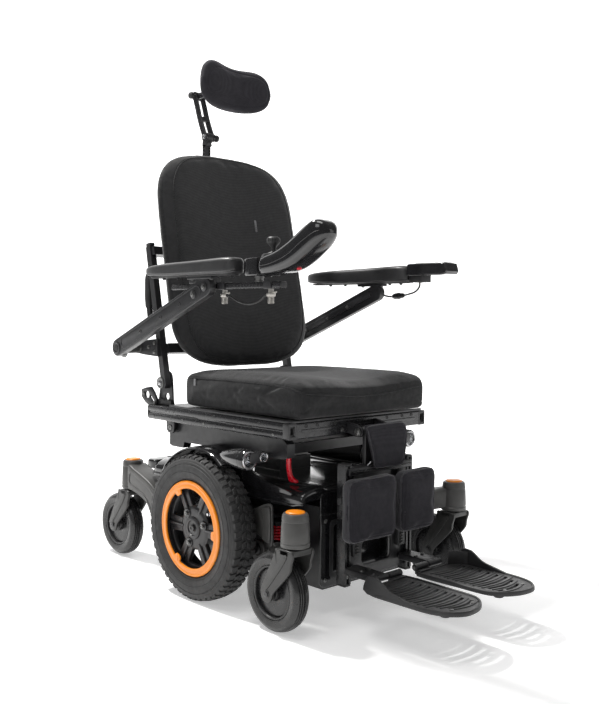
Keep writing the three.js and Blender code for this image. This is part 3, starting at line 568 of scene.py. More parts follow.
def tube(name, pts, r, mat, res=4, caps=True, smooth=True, n=8):
    """round bar through points (mm), of one radius r"""
    P = smooth_path(pts, n) if smooth else pts
    cu = bpy.data.curves.new(name, "CURVE")
    cu.dimensions = "3D"
    sp = cu.splines.new("POLY")
    sp.points.add(len(P) - 1)
    for p, q in zip(sp.points, P):
        p.co = (*W(*q), 1)
    cu.bevel_depth = r * S
    cu.bevel_resolution = res
    cu.use_fill_caps = caps
    tmp = bpy.data.objects.new(name + "_c", cu)
    coll.objects.link(tmp)
    dg = bpy.context.evaluated_depsgraph_get()
    me = bpy.data.meshes.new_from_object(tmp.evaluated_get(dg))
    bpy.data.objects.remove(tmp)
    bpy.data.curves.remove(cu)
    me.name = name
    me.materials.clear()
    bm = bmesh.new(); bm.from_mesh(me)
    bmesh.ops.remove_doubles(bm, verts=bm.verts, dist=1e-7)
    bmesh.ops.recalc_face_normals(bm, faces=bm.faces)
    bm.to_mesh(me); bm.free()
    shade(me, 40)
    return obj(name, me, mat)


def loft(name, rings, mat, angle=35, cap=True, closed=True):
    """rings: lists of points in mm, all the same length"""
    n = len(rings[0])
    verts = [W(*p) for r in rings for p in r]
    faces = []
    m = n if closed else n - 1
    for k in range(len(rings) - 1):
        for i in range(m):
            a, b = k * n + i, k * n + (i + 1) % n
            faces.append((a, b, b + n, a + n))
    if cap:
        faces.append(tuple(range(n)))
        faces.append(tuple((len(rings) - 1) * n + i for i in range(n)))
    return from_lists(name, verts, faces, mat, angle)


def rbox(name, x0, x1, y0, y1, z0, z1, mat, r=1.5, seg=3):
    me = bpy.data.meshes.new(name)
    bm = bmesh.new()
    bmesh.ops.create_cube(bm, size=1)
    for v in bm.verts:
        v.co = W(x0 + (v.co.x + 0.5) * (x1 - x0), y0 + (v.co.y + 0.5) * (y1 - y0), z0 + (v.co.z + 0.5) * (z1 - z0))
    r = min(r, 0.49 * min(x1 - x0, y1 - y0, z1 - z0))
    bmesh.ops.bevel(bm, geom=list(bm.edges) + list(bm.verts), offset=r * S, segments=seg, profile=0.6, affect="EDGES", clamp_overlap=True)
    bmesh.ops.recalc_face_normals(bm, faces=bm.faces)
    bm.to_mesh(me); bm.free()
    shade(me, 50)
    return obj(name, me, mat)


def merge(name, objs):
    """joins objects into one mesh, keeping each one's material"""
    mats, verts, faces, mi, sm, sharp = [], [], [], [], [], []
    bm = bmesh.new()
    for o in objs:
        if o.modifiers:
            bake(o)
        base = []
        for m in o.data.materials:
            if m not in mats:
                mats.append(m)
            base.append(mats.index(m))
        b2 = bmesh.new(); b2.from_mesh(o.data)
        b2.transform(o.matrix_world)
        for f in b2.faces:
            f.material_index = base[f.material_index] if base else 0
        tmp = bpy.data.meshes.new("tmp")
        b2.to_mesh(tmp); b2.free()
        bm.from_mesh(tmp)
        bpy.data.meshes.remove(tmp)
    me = bpy.data.meshes.new(name)
    bm.to_mesh(me); bm.free()
    for o in objs:
        d = o.data
        bpy.data.objects.remove(o)
        bpy.data.meshes.remove(d)
    for m in mats:
        me.materials.append(m)
    return obj(name, me, None)


def mirrored(o, name):
    me = o.data.copy()
    me.name = name
    bm = bmesh.new(); bm.from_mesh(me)
    bmesh.ops.transform(bm, matrix=Matrix.Scale(-1, 4, (1, 0, 0)), verts=bm.verts)
    bmesh.ops.reverse_faces(bm, faces=bm.faces)
    bm.to_mesh(me); bm.free()
    o2 = bpy.data.objects.new(name, me)
    coll.objects.link(o2)
    for m in o.modifiers:
        m2 = o2.modifiers.new(m.name, m.type)
        for p in m.bl_rna.properties:
            if not p.is_readonly and p.identifier not in ("name", "type"):
                try:
                    setattr(m2, p.identifier, getattr(m, p.identifier))
                except Exception:
                    pass
    return o2


SLOT_OF = {q["node"]: q["material_slot"] for q in frame["record"]["subparts"]}


def both(o, name, body, nodes=(), slot=None):
    """o is the left piece: adds its mirror image and lets each ride on its side's body"""
    o.name = name + "_left_v"
    r = mirrored(o, name + "_right_v")
    out = []
    for q, side in ((o, "left"), (r, "right")):
        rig.ride(q, body.replace("*", side))
        for nd in nodes:
            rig.replaces(q, nd.replace("*", side))
        if slot or nodes:
            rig.slot(q, slot or SLOT_OF[nodes[0].replace("*", side)])
        out.append(q)
    return out


def on(o, body, nodes=(), slot=None):
    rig.ride(o, body)
    for nd in nodes:
        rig.replaces(o, nd)
    if slot or nodes:
        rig.slot(o, slot or SLOT_OF[nodes[0]])
    return o


def hexbolt(name, axis, c, r, h, mat="blackened", sign=1):
    """hex head with a round washer face and a dished top, standing on c along the axis"""
    prof = [(0, 0), (r * 1.25, 0), (r * 1.25, h * 0.18), (r * 0.98, h * 0.2), (r * 0.98, h * 0.86), (r * 0.8, h), (r * 0.45, h), (r * 0.38, h * 0.7), (0, h * 0.7)]
    return lathe(name, [(a, b * sign) for a, b in prof], axis, c, mat, 12, 30)


# --------------------------------------------------------------- the leads
def catmull(pts, per=10):
    """centripetal Catmull-Rom, as the leads' routes are laid"""
    P = [Vector(p) for p in pts]
    out = []
    for i in range(len(P) - 1):
        p1, p2 = P[i], P[i + 1]
        p0 = P[i - 1] if i else p1 * 2 - p2
        p3 = P[i + 2] if i + 2 < len(P) else p2 * 2 - p1
        t0 = 0.0
        t1 = t0 + (p1 - p0).length ** 0.5
        t2 = t1 + (p2 - p1).length ** 0.5
        t3 = t2 + (p3 - p2).length ** 0.5
        for j in range(per):
            t = t1 + (t2 - t1) * j / per
            a1 = p0 * ((t1 - t) / (t1 - t0)) + p1 * ((t - t0) / (t1 - t0))
            a2 = p1 * ((t2 - t) / (t2 - t1)) + p2 * ((t - t1) / (t2 - t1))
            a3 = p2 * ((t3 - t) / (t3 - t2)) + p3 * ((t - t2) / (t3 - t2))
            b1 = a1 * ((t2 - t) / (t2 - t0)) + a2 * ((t - t0) / (t2 - t0))
            b2 = a2 * ((t3 - t) / (t3 - t1)) + a3 * ((t - t1) / (t3 - t1))
            out.append(b1 * ((t2 - t) / (t2 - t1)) + b2 * ((t - t1) / (t2 - t1)))
    out.append(P[-1])
    return out


def length(pts):
    return sum((pts[i + 1] - pts[i]).length for i in range(len(pts) - 1))


def point_at(pts, share):
    want = length(pts) * share
    for i in range(len(pts) - 1):
        step = (pts[i + 1] - pts[i]).length
        if want <= step:
            return pts[i].lerp(pts[i + 1], want / step)
        want -= step
    return pts[-1].copy()


def lead_tube(name, pts, r, mat, taper=()):
    """tube of ten sides; taper: not used"""
    total = length(pts)
    n = 56
    P = [point_at(pts, k / n) for k in range(n + 1)]
    rings, up = [], Vector((1, 0, 0))
    for k, p in enumerate(P):
        t = (P[min(k + 1, n)] - P[max(k - 1, 0)]).normalized()
        side = t.cross(up).normalized() if abs(t.dot(up)) < 0.98 else t.cross(Vector((0, 0, 1))).normalized()
        nor = side.cross(t).normalized()
        rings.append([p + side * (r * math.cos(2 * pi * j / 10)) + nor * (r * math.sin(2 * pi * j / 10)) for j in range(10)])
    return loft(name, rings, mat, 50)


SWITCH_PTS = [(299, -214, 787.6), (299, -212, 776), (300, -198, 764), (302, -176, 758), (305, -150, 754), (309, -118, 752),
              (315, -92, 752), (318.5, -66, 757), (318.5, -46, 766), (317, -36, 776), (316, -32, 786.5)]
JOY_PTS = [(-272, -246.4, 742), (-271, -238, 741), (-268, -214, 729), (-267, -175, 722), (-268, -136, 729), (-271, -111, 741), (-272, -103.6, 742)]

sw = catmull(SWITCH_PTS)
switch_lead = on(lead_tube("switch_lead_v", sw, 2.5, "rubber"), "arm_left", ["switch_lead"])
# inline connector: two ribbed halves with a collar, along the lead
ca, cb = point_at(sw, 0.36), point_at(sw, 0.56)
cd = (cb - ca).normalized()
cm = (ca + cb) / 2
cr = cd.cross(Vector((0, 0, 1))).normalized()
cu_ = cr.cross(cd)
prof = [(2.6, -22), (4.6, -22), (5.2, -20)]
for k in range(5):
    z = -19.5 + k * 3.2
    prof += [(6.4 + k * 0.35, z), (6.4 + k * 0.35, z + 1.9), (5.7 + k * 0.35, z + 2.2), (5.7 + k * 0.35, z + 3.0)]
prof += [(9, -3.2), (9, 3.0), (8.2, 3.4), (8.2, 4.4), (8.8, 4.8), (8.8, 12), (8.0, 15), (6.6, 20), (4.6, 22), (2.6, 22)]
rings = [[cm + cd * h + cr * (r * math.cos(2 * pi * j / 24)) + cu_ * (r * math.sin(2 * pi * j / 24)) for j in range(24)] for r, h in prof]
connector = on(loft("lead_connector_v", rings + [rings[0]], "plastic_smooth", 40, cap=False), "arm_left", ["lead_connector"])
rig.cord(switch_lead, exit=tuple(W(*SWITCH_PTS[0])), length=length(sw) * S, diameter=0.005, far_end="object", stiffness="medium",
        lay="hanging", path=[tuple(W(*p)) for p in [point_at(sw, k / 30) for k in range(31)]], with_pieces=[connector])
jp = catmull(JOY_PTS)
joystick_lead = on(lead_tube("joystick_lead_v", jp, 2.5, "rubber"), "arm_right", ["joystick_lead"])
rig.cord(joystick_lead, exit=tuple(W(*JOY_PTS[0])), length=length(jp) * S, diameter=0.005, far_end="object", stiffness="medium",
        lay="hanging", path=[tuple(W(*p)) for p in [point_at(jp, k / 24) for k in range(25)]])


# ------------------------------------------------------------ drive wheels
def drive_wheel():
    c = (0, 0, 178)
    R, x0, x1 = 178.0, 232.0, 308.0
    mid, hw = (x0 + x1) / 2, (x1 - x0) / 2
    # carcass: tread floor 4 mm under the blocks, sidewalls with two ribs and a rim bead
    prof = []
    half = [(174.0, 0), (174.0, 12), (173.6, 20), (172.2, 26), (169, 30.5), (165.2, 33.6), (163.2, 34.2), (162.6, 34.2), (161.8, 35.2),
            (157.5, 36.4), (156.6, 35.6), (155.4, 35.6), (154.5, 37.0), (148, 38.0), (141, 37.6), (140, 36.6), (138.6, 36.6), (137.6, 37.4),
            (131, 36.2), (126, 34.0), (122.5, 32.4), (121.2, 32.9), (119.6, 32.2), (118.3, 30.2)]
    prof = [(r, mid + h) for r, h in half] + [(r, mid - h) for r, h in reversed(half[1:])]
    tyre = lathe("tyre_v", prof, "x", c, "tyre", 128, 30)
    # tread blocks: two rows of centre chevrons and shoulder lugs that wrap over the shoulder
    verts, faces = [], []

    def block(th0, th1, h0, h1, skew, r_top=178.0, r_bot=172.5, wrap=0):
        b = len(verts)
        n = 3
        def ring(pad, rr):
            pts = []
            dt = (th1 - th0)
            for (u, v) in ((0, 0), (1, 0), (1, 1), (0, 1)):
                h = h0 + (h1 - h0) * u
                t = th0 + dt * v + skew * u
                h += pad * (1 if u == 0 else -1)
                t += (pad / 175.0) * (1 if v == 0 else -1) / D
                pts.append((h, t, rr))
            return pts
        lay = [ring(-0.6, r_bot), ring(0.0, r_top - 0.9), ring(0.8, r_top)]
        for L_ in lay:
            for h, t, rr in L_:
                drop = 0.0
                ah = abs(h)
                if ah > 22:
                    drop = (ah - 22) ** 2 * 0.045
                rr2 = rr - drop
                a = t * D
                verts.append(W(mid + h, rr2 * math.cos(a), c[2] + rr2 * math.sin(a)))
        for k in range(2):
            for i in range(4):
                a, d = b + 4 * k + i, b + 4 * k + (i + 1) % 4
                faces.append((a, d, d + 4, a + 4))
        faces.append((b + 8, b + 9, b + 10, b + 11))
        faces.append((b + 3, b + 2, b + 1, b))

    N = 52
    for k in range(N):
        a = 360 / N * k
        s = 360 / N
        for sg in (1, -1):
            off = 0 if sg > 0 else s / 2
            block(a + off + 0.4, a + off + s * 0.62, sg * 1.4 if sg > 0 else -12.5, 12.5 if sg > 0 else -1.4, 2.0 * sg)
            lo, hi = (14.8, 30.5)
            h0, h1 = (lo, hi) if sg > 0 else (-hi, -lo)
            block(a + off - 0.7, a + off + s * 0.52, h0, h1, 0.9 * sg, 177.2, 168.0)
    lugs = from_lists("tyre_lugs", verts, faces, "tyre", 30)
    tyre = merge("drive_tyre", [tyre, lugs])
    both(tyre, "drive_tyre", "drive_wheel_*", ["drive_tyre_*"])

    # hub: rim barrel, spoked disc with bevelled windows, centre cap, bolts
    barrel = lathe("barrel", [(117.8, 241.5), (104.5, 241.5), (103.5, 243), (103.5, 272), (105, 275), (105, 287), (103.5, 289), (103.5, 298.6), (104.6, 299.6), (116.6, 299.6), (117.8, 298.4)],
                   "x", c, "paint", 96, 30)
    holes = []
    for k in range(6):
        a = 29 + 60 * k
        pts = []
        for i in range(9):
            t = (a - 18 + 36 * i / 8) * D
            pts.append((93 * math.cos(t), 178 + 93 * math.sin(t)))
        for i in range(4):
            t = (a + 9 - 18 * i / 3) * D
            pts.append((50 * math.cos(t), 178 + 50 * math.sin(t)))
        P = [Vector(p) for p in pts]
        # round the corners
        out = []
        n = len(P)
        for i in range(n):
            p, q, r_ = P[i - 1], P[i], P[(i + 1) % n]
            d0, d1 = (p - q), (r_ - q)
            m = min(7.0, d0.length * 0.45, d1.length * 0.45)
            for t in (0, 0.5, 1):
                a0 = q + d0.normalized() * m
                a1 = q + d1.normalized() * m
                out.append(tuple(a0 * (1 - t) ** 2 + q * (2 * t * (1 - t)) + a1 * t * t))
        holes.append(out)
    disc = plate("disc", circle(0, 178, 105.2, 96), "x", 275.5, 287.6, "paint", holes, bev=2.2, res=2)
    ribs = []
    for k in range(6):
        a = (29 + 30 + 60 * k) * D
        p = (44 * math.cos(a), 178 + 44 * math.sin(a))
        q = (98 * math.cos(a), 178 + 98 * math.sin(a))
        ribs.append(plate(f"rib{k}", stadium(p, q, 3.4, 6), "x", 284, 292.5, "paint", bev=2.2))
    boss = lathe("boss", [(0, 229), (38, 229), (39.5, 231), (39.5, 262), (54, 263), (54.5, 275), (54.5, 286), (50, 289.5), (44, 290.5), (40, 291), (28, 291.5),
                          (27, 294.2), (24.5, 295.6), (19, 296), (17.5, 293.5), (0, 293.5)], "x", c, "paint", 64, 30)
    nut = hexbolt("axle_nut", "x", (293.5, 0, 178), 9, 5)
    parts = [barrel, disc, boss, nut, *ribs]
    for k, a in enumerate((164, 52, -67)):
        y, z = 41 * math.cos(a * D), 178 + 41 * math.sin(a * D)
        parts.append(lathe(f"seat{k}", [(0, 288), (11.5, 288), (12.5, 290), (12.5, 292.6), (10.6, 294), (0, 294)], "x", (0, y, z), "paint_gloss", 32))
        parts.append(hexbolt(f"bolt{k}", "x", (294, y, z), 5.4, 4.6, "zinc"))
    y, z = 76 * math.cos(145 * D), 178 + 76 * math.sin(145 * D)
    parts.append(lathe("valve", [(0, 287), (4.6, 287), (4.6, 292), (3.4, 293), (3.4, 297), (0, 297.5)], "x", (0, y, z), "steel", 24))
    hub = merge("drive_hub", parts)
    both(hub, "drive_hub", "drive_wheel_*", ["drive_hub_*"])

    # orange ring with a raised lip and three inward tabs
    ring = lathe("ring", [(116.3, 300.2), (98.4, 300.2), (97.2, 301), (97, 304.2), (98.6, 305.7), (103, 305.9), (105.6, 304.9), (110, 304.9), (112.3, 305.8), (114.6, 305.2), (116.3, 303.2)],
                 "x", c, "orange", 96, 30)
    tabs = []
    for k, a in enumerate((119, -1, -121)):
        t = (180 - a) * D
        cs, sn = math.cos(t), math.sin(t)

        def at(r, w):
            return (r * cs - w * sn, 178 + r * sn + w * cs)
        out = [at(103, -14.5), at(97, -12.4), at(88.5, -9.6), at(86.3, -7.2), at(85.8, 0), at(86.3, 7.2), at(88.5, 9.6), at(97, 12.4), at(103, 14.5)]
        tabs.append(plate(f"tab{k}", out, "x", 300.3, 305.2, "orange", bev=1.3))
        tabs.append(lathe(f"dimple{k}", [(0, 305.0), (4.4, 305.0), (4.4, 305.6), (3.0, 306.0), (0, 306.0)], "x", (0, *at(95, 0)), "orange", 20))
    both(merge("rim_ring", [ring, *tabs]), "rim_ring", "drive_wheel_*", ["rim_ring_*"])


drive_wheel()


# ----------------------------------------------------------------- casters
def caster(kind, sx, sy):
    cy = sy + 56
    c = (sx, cy, 89)
    # solid tyre with five grooves round a crowned tread, then a web hub
    prof = [(60, -17.2), (62, -19.2), (72, -21.6), (76, -21.6), (80.5, -19.6), (84.6, -15.4)]
    tread = [(86.2, -13.4), (84.4, -12.8), (84.4, -11.6), (86.9, -11.0), (87.7, -8.0), (86.0, -7.4), (86.0, -6.2), (88.2, -5.6), (88.7, -2.6), (87.0, -2.0), (87.0, -0.8), (88.85, -0.2)]
    prof += tread + [(r, -h) for r, h in reversed(tread)] + [(r, -h) for r, h in reversed(prof)]
    tyre = lathe("ct", prof, "x", c, "caster", 72, 28)
    rim = [(60.3, -17.0), (58.6, -18.4), (56, -18.4), (54.5, -16.5), (53.5, -7), (30, -5.6), (19, -6.4), (17.5, -16.6), (16.4, -18), (6.6, -18)]
    hub = lathe("ch", rim + [(r, -h) for r, h in reversed(rim)], "x", c, "plastic_smooth", 72, 30)
    rings = [lathe(f"disc{sg}", [(20, sg * 9.5), (26, sg * 10.4), (50, sg * 11.6), (53.4, sg * 10.4), (53.4, sg * 4), (20, sg * 4), (20, sg * 9.5)], "x", c, "plastic_smooth", 64, 30) for sg in (1, -1)]
    wheel = merge("cw", [tyre, hub, *rings])
    both(wheel, f"{kind}_caster_wheel", f"{kind}_caster_*", [f"{kind}_caster_wheel_*"])

    # fork: crown with a rounded shoulder, two pressed legs, stem, axle bolt and nut
    parts = []
    crown = plate("crown", rrect(sx - 33, sx + 33, sy - 25, sy + 25, 13), "z", 183.8, 197, "grey_dark", bev=2.4, res=3)
    parts.append(crown)
    for x0, x1 in ((26, 33), (-33, -26)):
        out = [(sy - 24, 195), (sy + 23, 196), (sy + 30, 186), (cy + 17, 103), (cy + 18.5, 90), (cy + 16, 78), (cy + 8, 71.5), (cy - 4, 70.5),
               (cy - 13, 76), (cy - 17, 85), (cy - 24, 98), (sy - 14, 146), (sy - 21, 168)]
        parts.append(plate("leg", smooth_loop(out, 4), "x", sx + x0, sx + x1, "grey_dark", bev=1.8, res=2))
        rib = [(sy - 8, 178), (sy + 8, 180), (cy + 4, 106), (cy - 6, 104)]
        e = 1 if x0 > 0 else -1
        a0, a1 = sorted((sx + (x1 if e > 0 else x0) - e * 0.6, sx + (x1 if e > 0 else x0) + e * 1.6))
        parts.append(plate("rib", smooth_loop(rib, 4), "x", a0, a1, "grey_dark", bev=0.8))
        xb = sx + (33.4 if e > 0 else -33.4)
        parts.append(lathe("washer", [(0, 0), (9.5, 0), (9.5, e * 1.2), (0, e * 1.2)], "x", (xb - e * 0.6, cy, 89), "blackened", 32))
        parts.append(hexbolt("ab", "x", (xb + e * 0.4, cy, 89), 6.6, 2.4, "blackened", e))
    parts.append(lathe("stem", [(0, 196.5), (16, 196.5), (16, 199.5), (12.2, 200.4), (11.8, 262), (0, 262)], "z", (sx, sy, 0), "zinc", 32))
    parts.append(lathe("axle", [(0, -26.2), (5.9, -26.2), (5.9, 26.2), (0, 26.2)], "x", c, "zinc", 24))
    both(merge("fk", parts), f"{kind}_fork", f"{kind}_fork_*", [f"{kind}_fork_*"])


caster("front", 280, -351)
caster("rear", 190, 426)


def orange_cap(sx, sy, z):
    return lathe("cap", [(0, z), (21.4, z), (21.4, z + 1.6), (20.2, z + 3.2), (14, z + 4.5), (7, z + 4.9), (0, z + 5)], "z", (sx, sy, 0), "orange", 40, 50)


# suspension arms
def front_arm():
    def sec(x, y, z, hx, hy, w, h, n=24):
        l = math.hypot(hx, hy)
        nx, ny = -hy / l, hx / l
        out = []
        for i in range(n):
            a = 2 * pi * (i + 0.5) / n
            u = math.copysign(abs(math.cos(a)) ** 0.42, math.cos(a))
            v = math.copysign(abs(math.sin(a)) ** 0.42, math.sin(a))
            out.append((x + nx * w * u, y + ny * w * u, z + h * v))
        return out
    keys = [(178, -136, 140, 0, -1, 21, 21), (179, -180, 140.5, 0, -1, 20.5, 21), (180, -222, 141, 0, -1, 20, 21), (189, -250, 172, 0.35, -1, 20, 23),
            (204, -276, 204, 0.6, -1, 21, 22), (240, -314, 226, 0.9, -0.9, 22, 26), (262, -334, 231, 0.9, -0.9, 21.5, 26.5), (278, -349, 232, 0.9, -0.9, 20, 26)]
    pts = smooth_path(keys, 5)
    arm = loft("arm", [sec(*p) for p in pts], "grey", 40)
    parts = [arm]
    # pivot boss with a ring, caster housing with a skirt, seam and cap
    b0 = lathe("boss", [(10.6, 150), (19.5, 150), (21.8, 152), (21.8, 203.6), (19.6, 205.8), (10.6, 205.8)], "x", (0, -140, 140), "grey", 48)
    parts.append(b0)
    parts.append(lathe("pivcap", [(0, 206.2), (12, 206.2), (12, 209), (10, 211), (0, 211.5)], "x", (0, -140, 140), "plastic_smooth", 32))
    hs = [(12.8, 199), (29, 199), (32, 200.4), (32.3, 203), (32.3, 208), (31.2, 209.4), (31.2, 212), (32, 213), (30.4, 252), (29.2, 254), (29.2, 256), (30, 257),
          (28.8, 268.5), (26.6, 271.8), (23, 272.9), (12.8, 272.9)]
    parts.append(lathe("housing", hs, "z", (280, -351, 0), "grey", 56, 32))
    parts.append(orange_cap(280, -351, 272.6))
    # screws on the outer side
    for (y, z) in ((-170, 141), (-206, 141)):
        parts.append(lathe("scr", [(0, 199.2), (4.2, 199.2), (4.2, 201.6), (3.2, 202.4), (0, 202.4)], "x", (0, y, z), "zinc", 20))
    parts.append(lathe("seat", [(0, 157), (17.4, 157), (19, 160), (19, 164.4), (17.4, 166), (0, 166)], "z", (188, -190, 0), "grey_dark", 40))
    both(merge("fa", parts), "front_arm", "front_arm_*", ["front_arm_*"])
    # coil spring between the arm and the chassis lug
    pts = []
    z0, z1, turns = 168.6, 203.8, 5.2
    n = 150
    for i in range(n + 1):
        u = i / n
        a = 2 * pi * turns * u
        e = min(1, u / 0.14, (1 - u) / 0.14)
        zz = z0 + (z1 - z0) * (0.5 - 0.5 * math.cos(pi * u)) * 0.25 + (z1 - z0) * u * 0.75
        pts.append((188 + 15.6 * math.cos(a), -190 + 15.6 * math.sin(a), zz))
    spring = tube("spring", pts, 2.5, "red", res=4, smooth=False)
    for q, side in zip(both(spring, "front_spring", "chassis", ["front_spring_*"]), ("left", "right")):
        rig.squash(q, f"front_arm_swing_{side}", axis=(0, 0, 1), anchor=tuple(W(188 if side == "left" else -188, -190, 206)), keep=0.82)


front_arm()


def rear_arm():
    side = [(238, 78), (235, 104), (236, 132), (245, 178), (258, 200), (274, 219), (296, 234), (322, 245), (352, 255), (380, 264), (402, 272), (409, 262),
            (409, 208), (398, 202), (384, 200), (356, 193.5), (338, 188), (314, 176), (298, 155), (286, 134), (277, 104), (272, 77), (262, 68.5), (249, 68.5)]
    body = plate("ra", smooth_loop(side, 3), "x", 161, 221, "grey", bev=5, res=4, angle=40)
    # raised rim round the outer face, and a recessed panel line
    inner = [(248, 92), (247, 132), (256, 172), (284, 206), (318, 226), (360, 240), (392, 250), (394, 222), (352, 210), (316, 194), (288, 164), (274, 134), (266, 100), (258, 88)]
    rimo = [(243, 84), (241, 132), (250, 176), (280, 212), (316, 234), (358, 248), (398, 260), (400, 214), (354, 203), (318, 188), (293, 158), (281, 132), (271, 96), (258, 80)]
    rim = plate("rim", smooth_loop(rimo, 3), "x", 220.5, 222.4, "grey", [smooth_loop(inner, 3)], bev=0.8)
    parts = [body, rim]
    parts.append(lathe("boss", [(10.6, 140), (18, 140), (19.8, 142), (19.8, 222), (18, 223.8), (10.6, 223.8)], "x", (0, 256, 108), "grey", 44))
    parts.append(lathe("pin", [(0, 224.2), (13, 224.2), (13, 227.4), (11, 229), (0, 229.6)], "x", (0, 256, 108), "plastic_smooth", 32))
    hs = [(12.8, 201), (29, 201), (32, 202.4), (32.2, 208), (31.2, 209.4), (31.2, 212), (32, 213), (30.2, 262), (29.2, 263.5), (29.2, 265.5), (29.8, 266.6),
          (28.6, 277.6), (26.4, 280.8), (23, 281.9), (12.8, 281.9)]
    parts.append(lathe("housing", hs, "z", (190, 426, 0), "grey", 56, 32))
    parts.append(orange_cap(190, 426, 281.6))
    both(merge("rarm", parts), "rear_arm", "rear_arm_*", ["rear_arm_*"])


rear_arm()


# ----------------------------------------------------- base: cover and motors
def sheet_mesh(name, rows, mat, thick, angle=50, skip=None):
    """grid of points (mm) as a skin, thickened inwards by thick"""
    n = len(rows[0])
    verts = [W(*p) for r in rows for p in r]
    faces = []
    for k in range(len(rows) - 1):
        for i in range(n - 1):
            if skip and skip(k, i):
                continue
            a = k * n + i
            faces.append((a, a + 1, a + 1 + n, a + n))
    me = bpy.data.meshes.new(name)
    me.from_pydata([tuple(v) for v in verts], [], faces)
    bm = bmesh.new(); bm.from_mesh(me)
    bmesh.ops.remove_doubles(bm, verts=bm.verts, dist=1e-6)
    loose = [v for v in bm.verts if not v.link_faces]
    bmesh.ops.delete(bm, geom=loose, context="VERTS")
    bmesh.ops.recalc_face_normals(bm, faces=bm.faces)
    bm.to_mesh(me); bm.free()
    o = obj(name, me, mat)
    m = o.modifiers.new("s", "SOLIDIFY")
    m.thickness = thick * S
    m.offset = -1
    bake(o)
    shade(o.data, angle)
    return o


def upward(o, test):
    """returns o as it is; test: not used; flips the skin's normals so that test(normal)
    holds for most of it
    """
    return o


